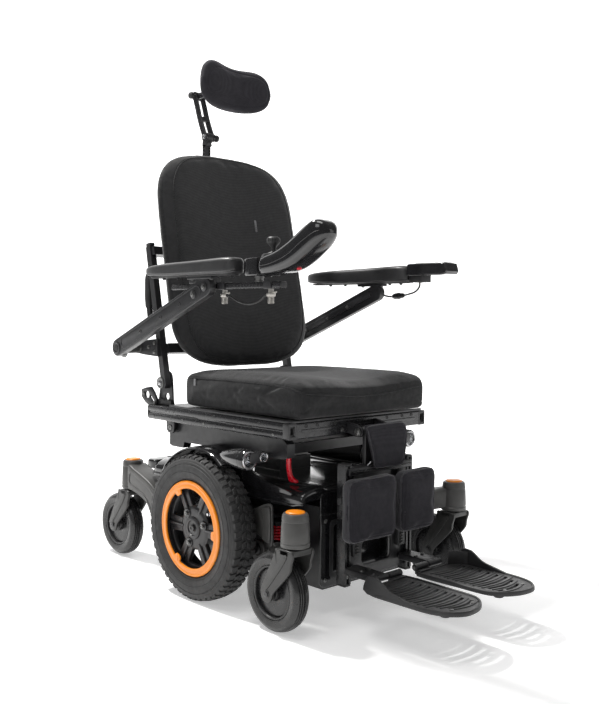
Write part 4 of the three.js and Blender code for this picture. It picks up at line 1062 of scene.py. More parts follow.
def shroud():
    half = smooth_path([(212.4, 264), (210.6, 264.6), (208.8, 267.5), (208.6, 277), (205.5, 287.5), (194, 296.6), (172, 302.6), (150, 304.8), (138, 304.2), (129, 300.5), (118, 298.6)], 3)
    half = half + [(104, 298.2), (90, 298), (76, 298), (62, 298)]
    mid = [(40, 298), (20, 298), (0, 298)]
    right = half + mid
    sec = right + [(-x, z) for x, z in reversed(right[:-1])]
    ys = [(-297.4, 0.30, 5), (-297, 0.55, 4.0), (-295, 0.78, 2.5), (-290, 0.93, 1), (-282, 0.99, 0), (-270, 1, 0), (-230, 1, 0), (-190, 1, 0), (-150, 1, 0), (-110, 1, 0), (-80, 1, 0), (-58, 1, 0), (-30, 1, 0), (0, 1, 0), (30, 1, 0), (58, 1, 0),
          (90, 1, 0), (130, 1, 0), (170, 1, 0), (210, 1, 0), (250, 1, 0), (280, 0.99, 0), (291, 0.94, 1), (296, 0.8, 2.5), (299, 0.55, 4), (300, 0.3, 5)]
    rows = []
    for y, k, dx in ys:
        row = []
        for x, z in sec:
            s = 1 if x > 0 else -1
            dome = 0.0
            if abs(x) < 130:      # the middle of the cover rises a little towards the lift
                dome = 2.5 * math.exp(-((y - 150) / 70) ** 2) * (1 - abs(x) / 130)
            fx = x - s * dx * (abs(x) / 212)
            clear = 7.0 * max(0.0, min(1.0, (-262 - y) / 26)) * max(0.0, min(1.0, (abs(x) - 188) / 18))
            row.append((fx, y, max(264 + (z - 264) * k + dome, 264 + clear)))
        rows.append(row)
    ix = [i for i, (x, z) in enumerate(sec) if abs(x) < 62]
    hole_i = set()
    for i in range(len(sec) - 1):
        if abs(sec[i][0]) <= 62.01 and abs(sec[i + 1][0]) <= 62.01:
            hole_i.add(i)
    hole_k = {k for k in range(len(ys) - 1) if abs(ys[k][0]) <= 58.01 and abs(ys[k + 1][0]) <= 58.01}
    top = sheet_mesh("top", rows, "gloss", 3.0, 40, skip=lambda k, i: k in hole_k and i in hole_i)
    parts = [top]
    # front skirt: rounded panel with a step where the upper cover laps over it
    parts.append(plate("skirt", rrect(-149, 149, 66, 286, 16, 8), "y", -296.5, -290.8, "gloss", bev=2.4, res=4))
    parts.append(plate("lap", rrect(-151.5, 151.5, 236, 288, 10, 6), "y", -298.6, -295.5, "gloss", bev=1.4, res=3))
    parts.append(plate("kick", rrect(-120, 120, 84, 222, 12, 6), "y", -298.2, -296, "plastic", [rrect(-108, 108, 96, 210, 8, 6)], bev=0.9))
    for x in (-134, 134):
        for z in (84, 222):
            parts.append(lathe("scr", [(0, -296.4), (5, -296.4), (5, -298), (3.6, -299), (1.6, -299), (1.6, -298.4), (0, -298.4)], "y", (x, 0, z), "zinc", 20))
    # rear hood with ribs
    parts.append(plate("hood", rrect(-207, 207, 292, 339, 20, 8), "z", 273, 298, "gloss", bev=6, res=5))
    for k in range(-3, 4):
        parts.append(plate("rib", stadium((k * 44 - 13, 316), (k * 44 + 13, 316), 3.2, 6), "z", 297, 299.4, "plastic", bev=1))
    for sg in (1, -1):
        rows = []
        for i in range(33):
            t = (38 + 82 * i / 32) * D
            yy, zz = math.cos(t), math.sin(t)
            e = min(1, i / 3, (32 - i) / 3)
            def P(x, r):
                return (sg * x, r * yy, 178 + r * zz)
            yb, zb = 196 * yy, 178 + 196 * zz
            drop = (1 - e) * 5
            row = [(sg * 210.2, yb, 264.5), (sg * 210.2, yb, 268 + (zb - 268) * 0.45), (sg * 210.4, yb, max(269, zb - 14)), P(211, 191.5 - drop), P(213.4, 194.6 - drop), P(218, 195.9 - drop), P(226, 196 - drop),
                   P(242, 196.4 - drop), P(258, 196.4 - drop), P(272, 195.8 - drop), P(280, 194.6 - drop), P(283.2, 192.4 - drop), P(284, 189.4 - drop)]
            rows.append(row)
        g = sheet_mesh("guard", rows, "gloss", 2.4 , 45)
        parts.append(g)
        a0, a1 = sorted((sg * 208.6, sg * 213))
        fair = [(-97, 292), (-97, 346), (-104, 345), (-116, 336), (-134, 322), (-160, 310.5), (-195, 304), (-240, 299), (-262, 294), (-264, 288), (-240, 286)]
        parts.append(plate("fair", smooth_loop(fair, 3), "x", a0, a1, "gloss", bev=1.6, res=3))
        # rolled lip along the lower edge
        parts.append(tube("lip", [(sg * 211.3, -255, 265.6), (sg * 211.3, -120, 265.6), (sg * 211.3, 60, 265.6), (sg * 211.3, 292, 265.6)], 1.9, "gloss", res=3, n=4))
    o = merge("base_shroud_v", parts)
    on(o, "chassis", ["base_shroud"])


shroud()


def motor():
    parts = [plate("gb", rrect(-55, 55, 123, 233, 20, 8), "x", 141, 224, "paint", bev=4, res=4),
             plate("gbc", rrect(-48, 48, 130, 226, 16, 8), "x", 223, 227.6, "grey_dark", [circle(0, 178, 31, 40)], bev=1.2)]
    prof = [(0, 50), (42, 50), (42, 62)]
    y = 62
    while y < 196:
        prof += [(42, y), (42, y + 4.5), (39.6, y + 5.2), (39.6, y + 8.4), (42, y + 9.1)]
        y += 10
    prof += [(42, 212), (43, 213), (43, 221), (38, 226), (30, 227), (29, 230.6), (0, 231)]
    parts.append(lathe("can", prof, "y", (185, 0, 178), "paint", 48, 30))
    for k in range(4):
        a = (45 + 90 * k) * D
        parts.append(hexbolt("mb", "y", (185 + 33 * math.cos(a), 226.4, 178 + 33 * math.sin(a)), 4, 4))
    for y_, z_ in ((-42, 137), (42, 137), (-42, 219), (42, 219)):
        parts.append(hexbolt("gbb", "x", (227.4, y_, z_), 4.5, 3.6))
    parts.append(lathe("seal", [(30, 224), (34, 224), (34, 227), (30, 228.2)], "x", (0, 0, 178), "rubber", 48))
    fin = [(-52, 166), (-80, 179), (-120, 189), (-160, 178), (-185, 168), (-200, 159), (-207, 164), (-209, 176), (-208, 215), (-207, 250), (-200, 258), (-188, 258), (-155, 244), (-120, 229), (-84, 226), (-52, 225)]
    parts.append(plate("fin", smooth_loop(fin, 3), "x", 215, 220.5, "grey", bev=1.2))
    rim = plate("finr", smooth_loop([(-178, 176), (-198, 168), (-205, 180), (-204, 246), (-190, 250), (-176, 240), (-184, 210)], 3), "x", 220, 225.6, "grey", bev=2)
    parts += [rim]
    both(merge("mot", parts), "drive_motor", "chassis", ["drive_motor_*"])


motor()


# --------------------------------------------------------------- headlights
def headlight():
    c = (283, 0, 367)
    y0 = -202
    hs = [(0, 104), (4.5, 103.6), (8.5, 101), (13, 92), (16.2, 80), (19.4, 64), (22, 47), (23.5, 32), (23.9, 20), (23.4, 19.2), (23.4, 17.6), (24, 16.8), (24, 5), (22.9, 2.4), (21.9, 2.0), (21.6, 9), (0, 9)]
    parts = [lathe("lh", [(r, y0 + h) for r, h in hs], "y", c, "gloss", 56, 30)]
    ring = [(21.7, 4), (21.7, 0.6), (20.6, -0.2), (19, -0.4), (16.6, 0.8), (15.6, 3.4), (15.6, 6)]
    parts.append(lathe("lr", [(r, y0 + h) for r, h in ring], "y", c, "steel", 56, 30))
    bowl = [(0, 7.4), (15.6, 7.4), (15.6, 5.2), (12, 6.4), (0, 6.6)]
    parts.append(lathe("lb", [(r, y0 + h) for r, h in bowl], "y", c, "plastic_smooth", 40, 30))
    for k in range(3):
        a = (90 + 120 * k) * D
        p = (283 + 6.6 * math.cos(a), 0, 367 + 6.6 * math.sin(a))
        parts.append(lathe("led", [(r, y0 + h) for r, h in [(4.9, 6.6), (4.9, 3.0), (4.1, 2.6), (2.6, 4.6), (1.5, 5.4), (0, 5.6), (0, 6.6)]], "y", p, "steel", 28, 30))
    lens = [(0, 1.2), (8, 1.5), (14, 2.2), (16.2, 3.0), (16.2, 3.8), (8, 2.5), (0, 2.2)]
    parts.append(lathe("ll", [(r, y0 + h) for r, h in lens], "y", c, "lens", 48, 40))
    # small lamp inboard
    c2 = (244, 0, 371)
    y1 = -206
    hs = [(0, 19.6), (6, 19.3), (9, 18.2), (11.2, 16.4), (13.2, 12), (13.5, 4), (12.6, 1.4), (12, 1.2), (11.8, 5), (0, 5)]
    parts.append(lathe("sh", [(r, y1 + h) for r, h in hs], "y", c2, "gloss", 40, 30))
    parts.append(lathe("sr", [(r, y1 + h) for r, h in [(12.2, 2.6), (12.0, 0.4), (10.8, -0.2), (9.2, 0.6), (8.6, 2.6), (8.6, 4)]], "y", c2, "steel", 40, 30))
    parts.append(lathe("sb", [(r, y1 + h) for r, h in [(0, 4.8), (8.6, 4.8), (8.6, 3.4), (6, 3.2), (3.6, 4.4), (0, 4.6)]], "y", c2, "steel", 32, 30))
    parts.append(lathe("sl", [(r, y1 + h) for r, h in [(0, 0.6), (5, 0.9), (9, 1.6), (9, 2.2), (5, 1.6), (0, 1.4)]], "y", c2, "lens", 32, 40))
    parts.append(plate("br", smooth_loop([(238, 361), (238, 383), (262, 384), (281, 382), (281, 361), (262, 358.4)], 2), "y", -202.6, -193.4, "paint", bev=1.5))
    parts.append(hexbolt("lbolt", "z", (262, -197, 383.4), 3.0, 2.0))
    both(merge("hl", parts), "headlight", "carriage", ["headlight_*"])


headlight()

lever_out = [(-222, 384), (-217.5, 366), (-216, 345), (-219.5, 330), (-224, 321), (-233, 315.6), (-240, 313.4), (-240.6, 310), (-238.6, 307.4), (-226, 306.8), (-214, 308.2),
             (-209, 318), (-206, 331), (-203.4, 350), (-205, 366), (-208, 378), (-211, 385)]
lv = merge("lever", [plate("lv", smooth_loop(lever_out, 3), "x", -174.3, -167.7, "red", bev=1.9, res=3),
                     lathe("lvh", [(4.6, -175.2), (7.2, -175.2), (8, -174.4), (8, -167.6), (7.2, -166.9), (4.6, -166.9)], "x", (0, -216, 380), "red", 28),
                     lathe("lvp", [(0, -166.4), (3.4, -166.4), (3.4, -165), (0, -164.8)], "x", (0, -216, 380), "zinc", 20)])
on(lv, "release_lever", ["release_lever"])
lv.name = "release_lever_v"


# --------------------------------------------------------------- seat frame
def keep(node, mats, width=0.9, seg=2, angle=30):
    """a CAD node that stays: better material and softened edges"""
    o = frame["nodes"][node]
    m = MAT[mats]
    if not o.material_slots:
        o.data.materials.append(m)
    for s in o.material_slots:
        s.link = "OBJECT"
        s.material = m
    if width:
        bevel(o, width, seg, angle)
    return o


for nd, mt, w in (("chassis_frame", "paint", 1.2), ("battery_front", "case", 2.5), ("battery_rear", "case", 2.5), ("control_module", "gloss", 1.6),
                  ("lift_outer", "paint", 1.5), ("lift_mid", "zinc", 1.2), ("lift_carriage", "paint", 1.0)):
    keep(nd, mt, w)


def seat_frame():
    parts = []
    lobes = [(217.4, 417.6), (220, 417), (236, 417), (239.2, 419.5), (240, 424), (239.6, 429.5), (237.6, 433.2), (237.6, 436.4), (239.6, 439.6), (240, 445), (239.2, 450.8),
             (236, 454), (221, 454), (217.2, 452), (216, 446), (216, 424)]
    for s in (1, -1):
        def X(a, b):
            return (a, b) if s > 0 else (-b, -a)

        def sx(pts):
            return [(s * x, z) for x, z in pts]
        parts.append(plate("rail", smooth_loop(sx(lobes), 3), "y", -276, 276, "paint_gloss", bev=0.8))
        # end caps, with a square socket in the front one
        parts.append(plate("capr", rrect(*X(217, 239.4), 418, 453.4, 6, 5), "y", 275.6, 280, "plastic", bev=1.6))
        parts.append(plate("capf", rrect(*X(215.4, 240.4), 416.6, 454.4, 4, 5), "y", -284, -264, "paint", [rrect(*X(221, 235), 425, 447, 2, 4)], bev=1.2))
        parts.append(plate("capi", rrect(*X(220.4, 235.6), 424, 448, 2, 4), "y", -281, -275, "plastic", [rrect(*X(223.5, 232.5), 428, 444, 1.5, 4)], bev=0.8))
        # holes and screws along the outer face
        x = s * 240
        for y in (190, 157.6, 89.6, -12.6, -182):
            parts.append(lathe("hole", [(0, 0), (4.6, 0), (4.6, s * 0.35), (3.9, s * 0.5), (3.5, s * 0.1), (0, s * 0.1)], "x", (x - s * 0.3, y, 446.6), "rubber", 24))
        for y in (250, 120, 30, -90, -230):
            parts.append(lathe("screw", [(0, 0), (3.4, 0), (3.4, s * 0.5), (2.6, s * 1.1), (1.6, s * 1.1), (1.4, s * 0.4), (0, s * 0.4)], "x", (x - s * 0.2, y, 425), "zinc", 20))
        # slotted stretch of the rail
        parts.append(plate("slot", stadium((-150, 435), (-60, 435), 1.7, 6), "x", *X(237.2, 238.4), "rubber", bev=0.3))
        parts.append(plate("slot", stadium((60, 435), (150, 435), 1.7, 6), "x", *X(237.2, 238.4), "rubber", bev=0.3))
        # inner side plate with the recline pivot, tilt lug and tail plate
        side = [(202, 440), (270, 440), (268, 470), (262, 500), (256, 524), (250, 538), (239, 545.6), (224, 546), (213, 540), (208, 528), (205, 500), (203, 470)]
        parts.append(plate("sp", smooth_loop(side, 3), "x", *X(206, 211), "paint", [circle(228, 478, 9, 24), circle(246, 456, 4.5, 20)], bev=1))
        parts.append(rbox("spb", *X(207.5, 216.6), 203, 269, 441, 469, "paint", 2))
        parts.append(lathe("rp", [(0, s * 209), (7.9, s * 209), (7.9, s * 226.6), (0, s * 226.6)], "x", (0, 232, 515), "zinc", 28))
        parts.append(hexbolt("rpb", "x", (s * 226.8, 232, 515), 6.4, 3, "zinc", s))
        lug = [(186, 425), (224, 425), (223, 404), (221, 390), (214, 383), (196, 383), (189, 390), (187, 404)]
        parts.append(plate("lug", lug, "x", *X(209.5, 217.2), "paint", [circle(205, 398, 8.6, 32)], bev=0.8))
        parts.append(hexbolt("tb", "x", (s * 214.8, 205, 398), 7.4, 4, "zinc", s))
        tail = [(263, 449), (263, 470), (274, 486), (290, 500.5), (314, 497), (335, 491), (335.6, 471), (318, 457), (300, 448.6)]
        parts.append(plate("tail", tail, "x", *X(216.2, 221.8), "paint", [circle(308, 478, 10, 28), stadium((278, 462), (292, 474), 3.4, 6)], bev=0.9))
        parts.append(hexbolt("tlb", "x", (s * 221.6, 270, 458), 4.4, 3.6, "zinc", s))
        parts.append(hexbolt("tlb", "x", (s * 221.6, 324, 482), 4.4, 3.6, "zinc", s))
    # front beam, pan with openings, cross bar, hanger lugs
    parts.append(plate("beam", rrect(-222, 222, 417.6, 453.4, 4, 5), "y", -283.6, -262.4, "paint_gloss", bev=2.4, res=3))
    parts.append(plate("beamrib", rrect(-200, 200, 432, 439, 2, 4), "y", -285, -283, "paint_gloss", bev=0.7))
    for x in (-186, -150, -92, 92, 150, 186):
        parts.append(lathe("bh", [(0, -283.4), (4.6, -283.4), (4.6, -284.2), (3.9, -284.3), (3.6, -283.8), (0, -283.8)], "y", (x, 0, 446), "rubber", 22))
    for x in (-70, 70):
        parts.append(hexbolt("bb", "y", (x, -284.6, 428), 5, 4, "zinc", -1))
    holes = []
    for i in range(4):
        for j in range(3):
            holes.append(rrect(-170 + j * 120, -70 + j * 120, -240 + i * 104, -166 + i * 104, 12, 5))
    parts.append(plate("pan", rrect(-235, 235, -283, 194, 14, 6), "z", 454.2, 459.6, "paint", holes, bev=0.9))
    parts.append(plate("bar", rrect(-221, 221, 431, 453.6, 3, 4), "y", 150.6, 171.4, "paint", bev=1.2))
    for x in (-52, 44):
        lugo = [(-280, 421), (-280, 447.6), (-298, 444), (-316, 440), (-331, 434), (-334, 426), (-333, 418), (-326, 413), (-312, 413), (-296, 417)]
        parts.append(plate("hl", lugo, "x", x, x + 8, "paint", [circle(-322, 425, 6.5, 28)], bev=0.9))
    o = merge("seat_frame_v", parts)
    on(o, "seat", ["seat_frame"])


seat_frame()


# --------------------------------------------------------------- soft parts
def soften(o, voxel, cap, pressure=4.0, pin=None, frames=20, stiff=15, sub=1):
    """swells a closed form like a filled cover: remesh, inflate, cap the travel, smooth"""
    bpy.context.view_layer.objects.active = o
    m = o.modifiers.new("r", "REMESH")
    m.mode = "VOXEL"
    m.voxel_size = voxel * S
    m.use_smooth_shade = True
    bake(o)
    bm = bmesh.new(); bm.from_mesh(o.data)
    for _ in range(3):
        bmesh.ops.smooth_vert(bm, verts=bm.verts, factor=0.5, use_axis_x=True, use_axis_y=True, use_axis_z=True)
    bm.to_mesh(o.data); bm.free()
    rest = [v.co.copy() for v in o.data.vertices]
    weights = [1.0] * len(rest)
    if pin:
        weights = [pin(v.co) for v in o.data.vertices]
    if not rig.quick():
        cl = o.modifiers.new("cl", "CLOTH")
        st = cl.settings
        st.quality = 5
        st.mass = 0.3
        st.tension_stiffness = stiff
        st.compression_stiffness = stiff
        st.shear_stiffness = stiff * 0.6
        st.bending_stiffness = 0.4
        st.use_pressure = True
        st.uniform_pressure_force = pressure
        st.effector_weights.gravity = 0
        cl.collision_settings.use_collision = False
        sc = bpy.context.scene
        cl.point_cache.frame_start = 1
        cl.point_cache.frame_end = frames
        for f in range(1, frames + 1):
            sc.frame_set(f)
        dg = bpy.context.evaluated_depsgraph_get()
        ev = o.evaluated_get(dg)
        pos = [v.co.copy() for v in ev.data.vertices]
        o.modifiers.clear()
        sc.frame_set(1)
    else:
        pos = [c + v.normal * (cap * S * 0.5) for c, v in zip(rest, o.data.vertices)]
    for v, a, b, w in zip(o.data.vertices, rest, pos, weights):
        d = b - a
        n = d.length
        lim = cap * S
        if n > 1e-9:
            k = lim * math.tanh(n / lim) / n
            v.co = a + d * k * w
    bm = bmesh.new(); bm.from_mesh(o.data)
    for _ in range(2):
        bmesh.ops.smooth_vert(bm, verts=bm.verts, factor=0.5, use_axis_x=True, use_axis_y=True, use_axis_z=True)
    for f in bm.faces:
        f.smooth = True
    bm.to_mesh(o.data); bm.free()
    if sub:
        subsurf(o, sub)
        bake(o)
    for f in o.data.polygons:
        f.use_smooth = True
    return o


def follow(o, pts, lift=0.0, up=None):
    """lays points onto the surface of o: nearest point, moved out along its normal by lift mm"""
    out = []
    for p in pts:
        ok, loc, nor, idx = o.closest_point_on_mesh(W(*p))
        out.append(loc + nor * lift * S)
    return [((p.x) / S, p.y / S - OY, p.z / S) for p in out]


def piping(name, o, pts, r, mat, lift=0.0, closed=False):
    path = smooth_path(pts, 8) if not closed else smooth_path([*pts, pts[0]], 8)
    path = follow(o, path, lift)
    # even the path out
    for _ in range(2):
        path = [path[0]] + [tuple((a + 2 * b + c) / 4 for a, b, c in zip(path[i - 1], path[i], path[i + 1])) for i in range(1, len(path) - 1)] + [path[-1]]
    return tube(name, path, r, mat, res=3, smooth=False)


def seam(o, pts, width, depth, shift=None):
    """presses a sewn line into the surface along a path (mm): a shallow groove"""
    from mathutils import kdtree
    P = smooth_path(pts, 10)
    kd = kdtree.KDTree(len(P))
    for i, p in enumerate(P):
        kd.insert(W(*p), i)
    kd.balance()
    nor = [v.normal.copy() for v in o.data.vertices]
    for v, n in zip(o.data.vertices, nor):
        co, i, dist = kd.find(v.co)
        t = dist / (width * S)
        if t < 3:
            v.co -= n * depth * S * math.exp(-t * t)


def cushion():
    # boxed cover: flat base, crowned top with a dip at the front middle
    def ring(y, z0, z1, w, dip, k):
        pts = []
        n = 28
        # bottom, left to right, then the side, the top and the other side
        def side(s):
            return [(s * (w - 10), y, z0), (s * (w - 2), y, z0 + 3), (s * w, y, z0 + 12), (s * (w + 0.5), y, (z0 + z1) / 2), (s * w, y, z1 - 14), (s * (w - 4), y, z1 - 4), (s * (w - 12), y, z1)]
        top = []
        for i in range(1, n):
            x = (w - 12) * (1 - 2 * i / n)
            u = abs(x) / (w - 12)
            z = z1 - dip * (math.cos(min(1, u / 0.80) * pi) * 0.5 + 0.5) + 2 * (1 - u)
            top.append((x, y, z))
        right = side(1)
        left = list(reversed(side(-1)))
        bottom = [(-(w - 10) + (w - 10) * 2 * i / 10, y, z0) for i in range(1, 10)]
        return right + top + left + bottom
    # (y, z0, z1, half width, dip of the middle, -)
    spec = [(-306, 478, 523, 206, 4, 0), (-303, 469, 533, 213, 7, 0), (-297, 464.5, 540, 217, 10, 0), (-284, 462, 546, 220, 13, 0), (-240, 462, 549, 223, 14, 0), (-180, 462, 550, 223, 12, 0),
            (-110, 462, 550, 223, 8, 0), (-40, 462, 550, 223, 5, 0), (40, 462, 549, 223, 3, 0), (100, 462, 548, 224, 2, 0), (120, 463, 545, 224, 1, 0), (129, 466, 540, 222, 0, 0), (133, 472, 534, 218, 0, 0)]
    o = loft("seat_cushion_v", [ring(*s) for s in spec], "seat", 80)
    base = 463.0 * S

    def pin(co):
        # the base lies on the pan; the rear face stays clear of the back
        z = (co.z - base) / (20 * S)
        y = (0.130 + 0.060 - co.y) / 0.04
        return max(0.0, min(1.0, z)) * max(0.15, min(1.0, y))
    soften(o, 4.5, 6.5, 3.4, pin, stiff=14)
    # welt between the top panel and the side band, and vertical seams in the band
    W_ = 219
    top = [(W_, 116, 534), (W_ + 2, 20, 538), (W_ + 3, -100, 539), (W_ + 2, -200, 537), (W_ - 2, -268, 531), (W_ - 12, -299, 522), (150, -309, 518), (60, -312, 510), (0, -312, 508), (-60, -312, 510),
           (-150, -309, 518), (-W_ + 12, -299, 522), (-W_ + 2, -268, 531), (-W_ - 2, -200, 537), (-W_ - 3, -100, 539), (-W_ - 2, 20, 538), (-W_, 116, 534)]
    seam(o, top, 2.2, 1.6)
    low = [(W_ + 2, 116, 478), (W_ + 3, -100, 477), (W_, -268, 478), (W_ - 12, -300, 480), (150, -311, 480), (0, -313, 480), (-150, -311, 480), (-W_ + 12, -300, 480), (-W_, -268, 478), (-W_ - 3, -100, 477), (-W_ - 2, 116, 478)]
    seam(o, low, 2.0, 1.3)
    for s in (1, -1):
        seam(o, [(s * (W_ - 6), -292, 528), (s * (W_ - 4), -297, 505), (s * (W_ - 6), -295, 478)], 1.8, 1.2)
        # folds that run from the band's corner up to the knee edge
        seam(o, [(s * (W_ + 4), -96, 476), (s * (W_ + 5), -140, 494), (s * (W_ + 3), -190, 520), (s * (W_ - 3), -240, 536)], 5.5, 2.6)
        seam(o, [(s * (W_ + 5), -20, 480), (s * (W_ + 5), -60, 500), (s * (W_ + 4), -96, 524)], 6, 1.6)
        seam(o, [(s * 205, -303, 480), (s * 176, -311, 496), (s * 140, -312, 510)], 5, 1.8)
    # darker material on the band
    o.data.materials.append(MAT["seat_side"])
    for f in o.data.polygons:
        c = f.center
        if f.normal.z < 0.55 or c.z < 0.52:
            f.material_index = 1
    parts_top = piping("welt", o, top, 1.5, "seat_side", 0.6)
    stitch = []
    # generic woven tag on both side bands
    tags = []
    for s in (1, -1):
        q = follow(o, [(s * 228, 86, 520)], 0)[0]
        tags.append(plate("tag", rrect(82, 90, 500, 534, 1, 3), "x", *sorted((q[0] + s * 0.1, q[0] + s * 0.9)), "tag", bev=0.2))
    m = merge("seat_cushion_v", [o, parts_top, *tags])
    on(m, "seat", ["seat_cushion"])
    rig.padded(m, 0.8)
    return m


cushion()


# -------------------------------------------------------------------- back
BA = 11.5 * D
BC, BS = math.cos(BA), math.sin(BA)


def back_pt(x, d, h):
    """back's own frame: depth from the cushion's front, height along the back -> design mm"""
    # turned by -11.5 degrees about X, then moved to the foot of the cushion
    y = d * BC + h * BS
    z = -d * BS + h * BC
    return (x, 125 + y, 562 + z)


def in_back(o):
    """moves an object modelled with Y = depth and Z = height (mm frame) into the leaning frame"""
    m = Matrix.Translation((0, (125 + OY) * S, 562 * S)) @ Matrix.Rotation(-BA, 4, "X") @ Matrix.Translation((0, -OY * S, 0))
    o.data.transform(m)
    return o


BACK_OUT = [(0, 0), (70, 1.5), (124, 8), (168, 21), (205, 45), (228, 78), (238, 124), (240, 200), (240, 300), (239, 380), (237, 440), (231, 488), (214, 530), (186, 560), (150, 578), (100, 589), (50, 594), (0, 595)]


def back_outline(inset=0.0):
    pts = smooth_path(BACK_OUT, 4)
    full = pts + [(-x, z) for x, z in reversed(pts[1:-1])]
    if inset:
        cx, cz = 0, 297
        out = []
        n = len(full)
        for i, (x, z) in enumerate(full):
            a, b = full[i - 1], full[(i + 1) % n]
            t = Vector((b[0] - a[0], b[1] - a[1])).normalized()
            nx, nz = -t.y, t.x
            out.append((x + nx * inset, z + nz * inset))
        return out
    return full


def squeezed(k, e):
    """back outline drawn in by k at the sides and e at the top and bottom"""
    return [(x * (1 - k / 240) * 1.022, 297 + (z - 297) * (1 - e / 297) * 1.016) for x, z in back_outline()]


def back_cushion():
    # front panel crowned between its seams, side band, flat rear against the shell
    rings = []
    for d, k, e in ((0.6, 48, 17), (1.6, 41, 12), (4.5, 32, 8), (10, 15, 3.5), (17, 1.5, 0.6), (22, 0.6, 0), (30, 6, 1), (48, 27, 7), (60, 41, 12), (67.6, 52, 17)):
        rings.append([back_pt(x, d, z) for x, z in squeezed(k, e)])
    # concave wrap: the sides of the panel come forward of the middle
    o = loft("bc", rings, "seat", 80)
    inv = Matrix.Rotation(BA, 4, "X") @ Matrix.Translation((0, -(125 + OY) * S, -562 * S))

    def pin(co):
        q = inv @ co
        return max(0.0, min(1.0, (0.060 - q.y) / 0.02))
    soften(o, 5.0, 5.5, 2.8, pin, stiff=16)
    # shallow hollow down the middle, deeper bolsters at the sides
    for v in o.data.vertices:
        q = inv @ v.co
        if q.y < 0.03:
            u = abs(q.x) / 0.24
            k = (0.03 - q.y) / 0.03
            dz = 0.0035 * math.cos(min(1, u) * pi) * k
            h = q.z
            lum = 0.003 * math.exp(-((h - 0.17) / 0.10) ** 2) * k
            q2 = q + Vector((0, dz - lum, 0))
            v.co = inv.inverted() @ q2
    edge = [back_pt(x, 1.5, z) for x, z in squeezed(40, 11)]
    N = len(edge)
    loop = [edge[i] for i in range(0, N, 3)]
    seam(o, [*loop, loop[0]], 2.2, 1.8)
    # bolster seams: vertical lines in from each side
    for s in (1, -1):
        ln = [back_pt(s * x, 16, z) for x, z in ((214, 96), (230, 180), (234, 290), (232, 400), (220, 480))]
        seam(o, ln, 2.6, 1.5)
    seam(o, [back_pt(x, 2, z) for x, z in ((-180, 128), (-110, 112), (0, 106), (110, 112), (180, 128))], 2.2, 0.9)
    o.data.materials.append(MAT["seat_side"])
    for f in o.data.polygons:
        q = inv @ f.center
        n = inv.to_3x3() @ f.normal
        if q.y > 0.006 and (n.y > -0.72 or q.y > 0.012):
            f.material_index = 1
    lp = follow(o, smooth_loop(loop, 6), 0.5)
    welt = tube("w", [*lp, lp[0]], 1.5, "seat_side", res=3, smooth=False, caps=False)
    # generic tag
    q = follow(o, [back_pt(72, 0, 395)], 0)[0]
    inv_q = inv @ W(*q)
    tag = plate("tag", rrect(68.5, 75.5, 378, 412, 1, 3), "y", inv_q.y / S - 0.9, inv_q.y / S + 0.4, "tag", bev=0.2)
    tag.data.transform(Matrix.Translation((0, -OY * S, 0)))
    tag.data.transform(inv.inverted())
    m = merge("back_cushion_v", [o, welt, tag])
    on(m, "back", ["back_cushion"])
    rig.padded(m, 0.75)


back_cushion()


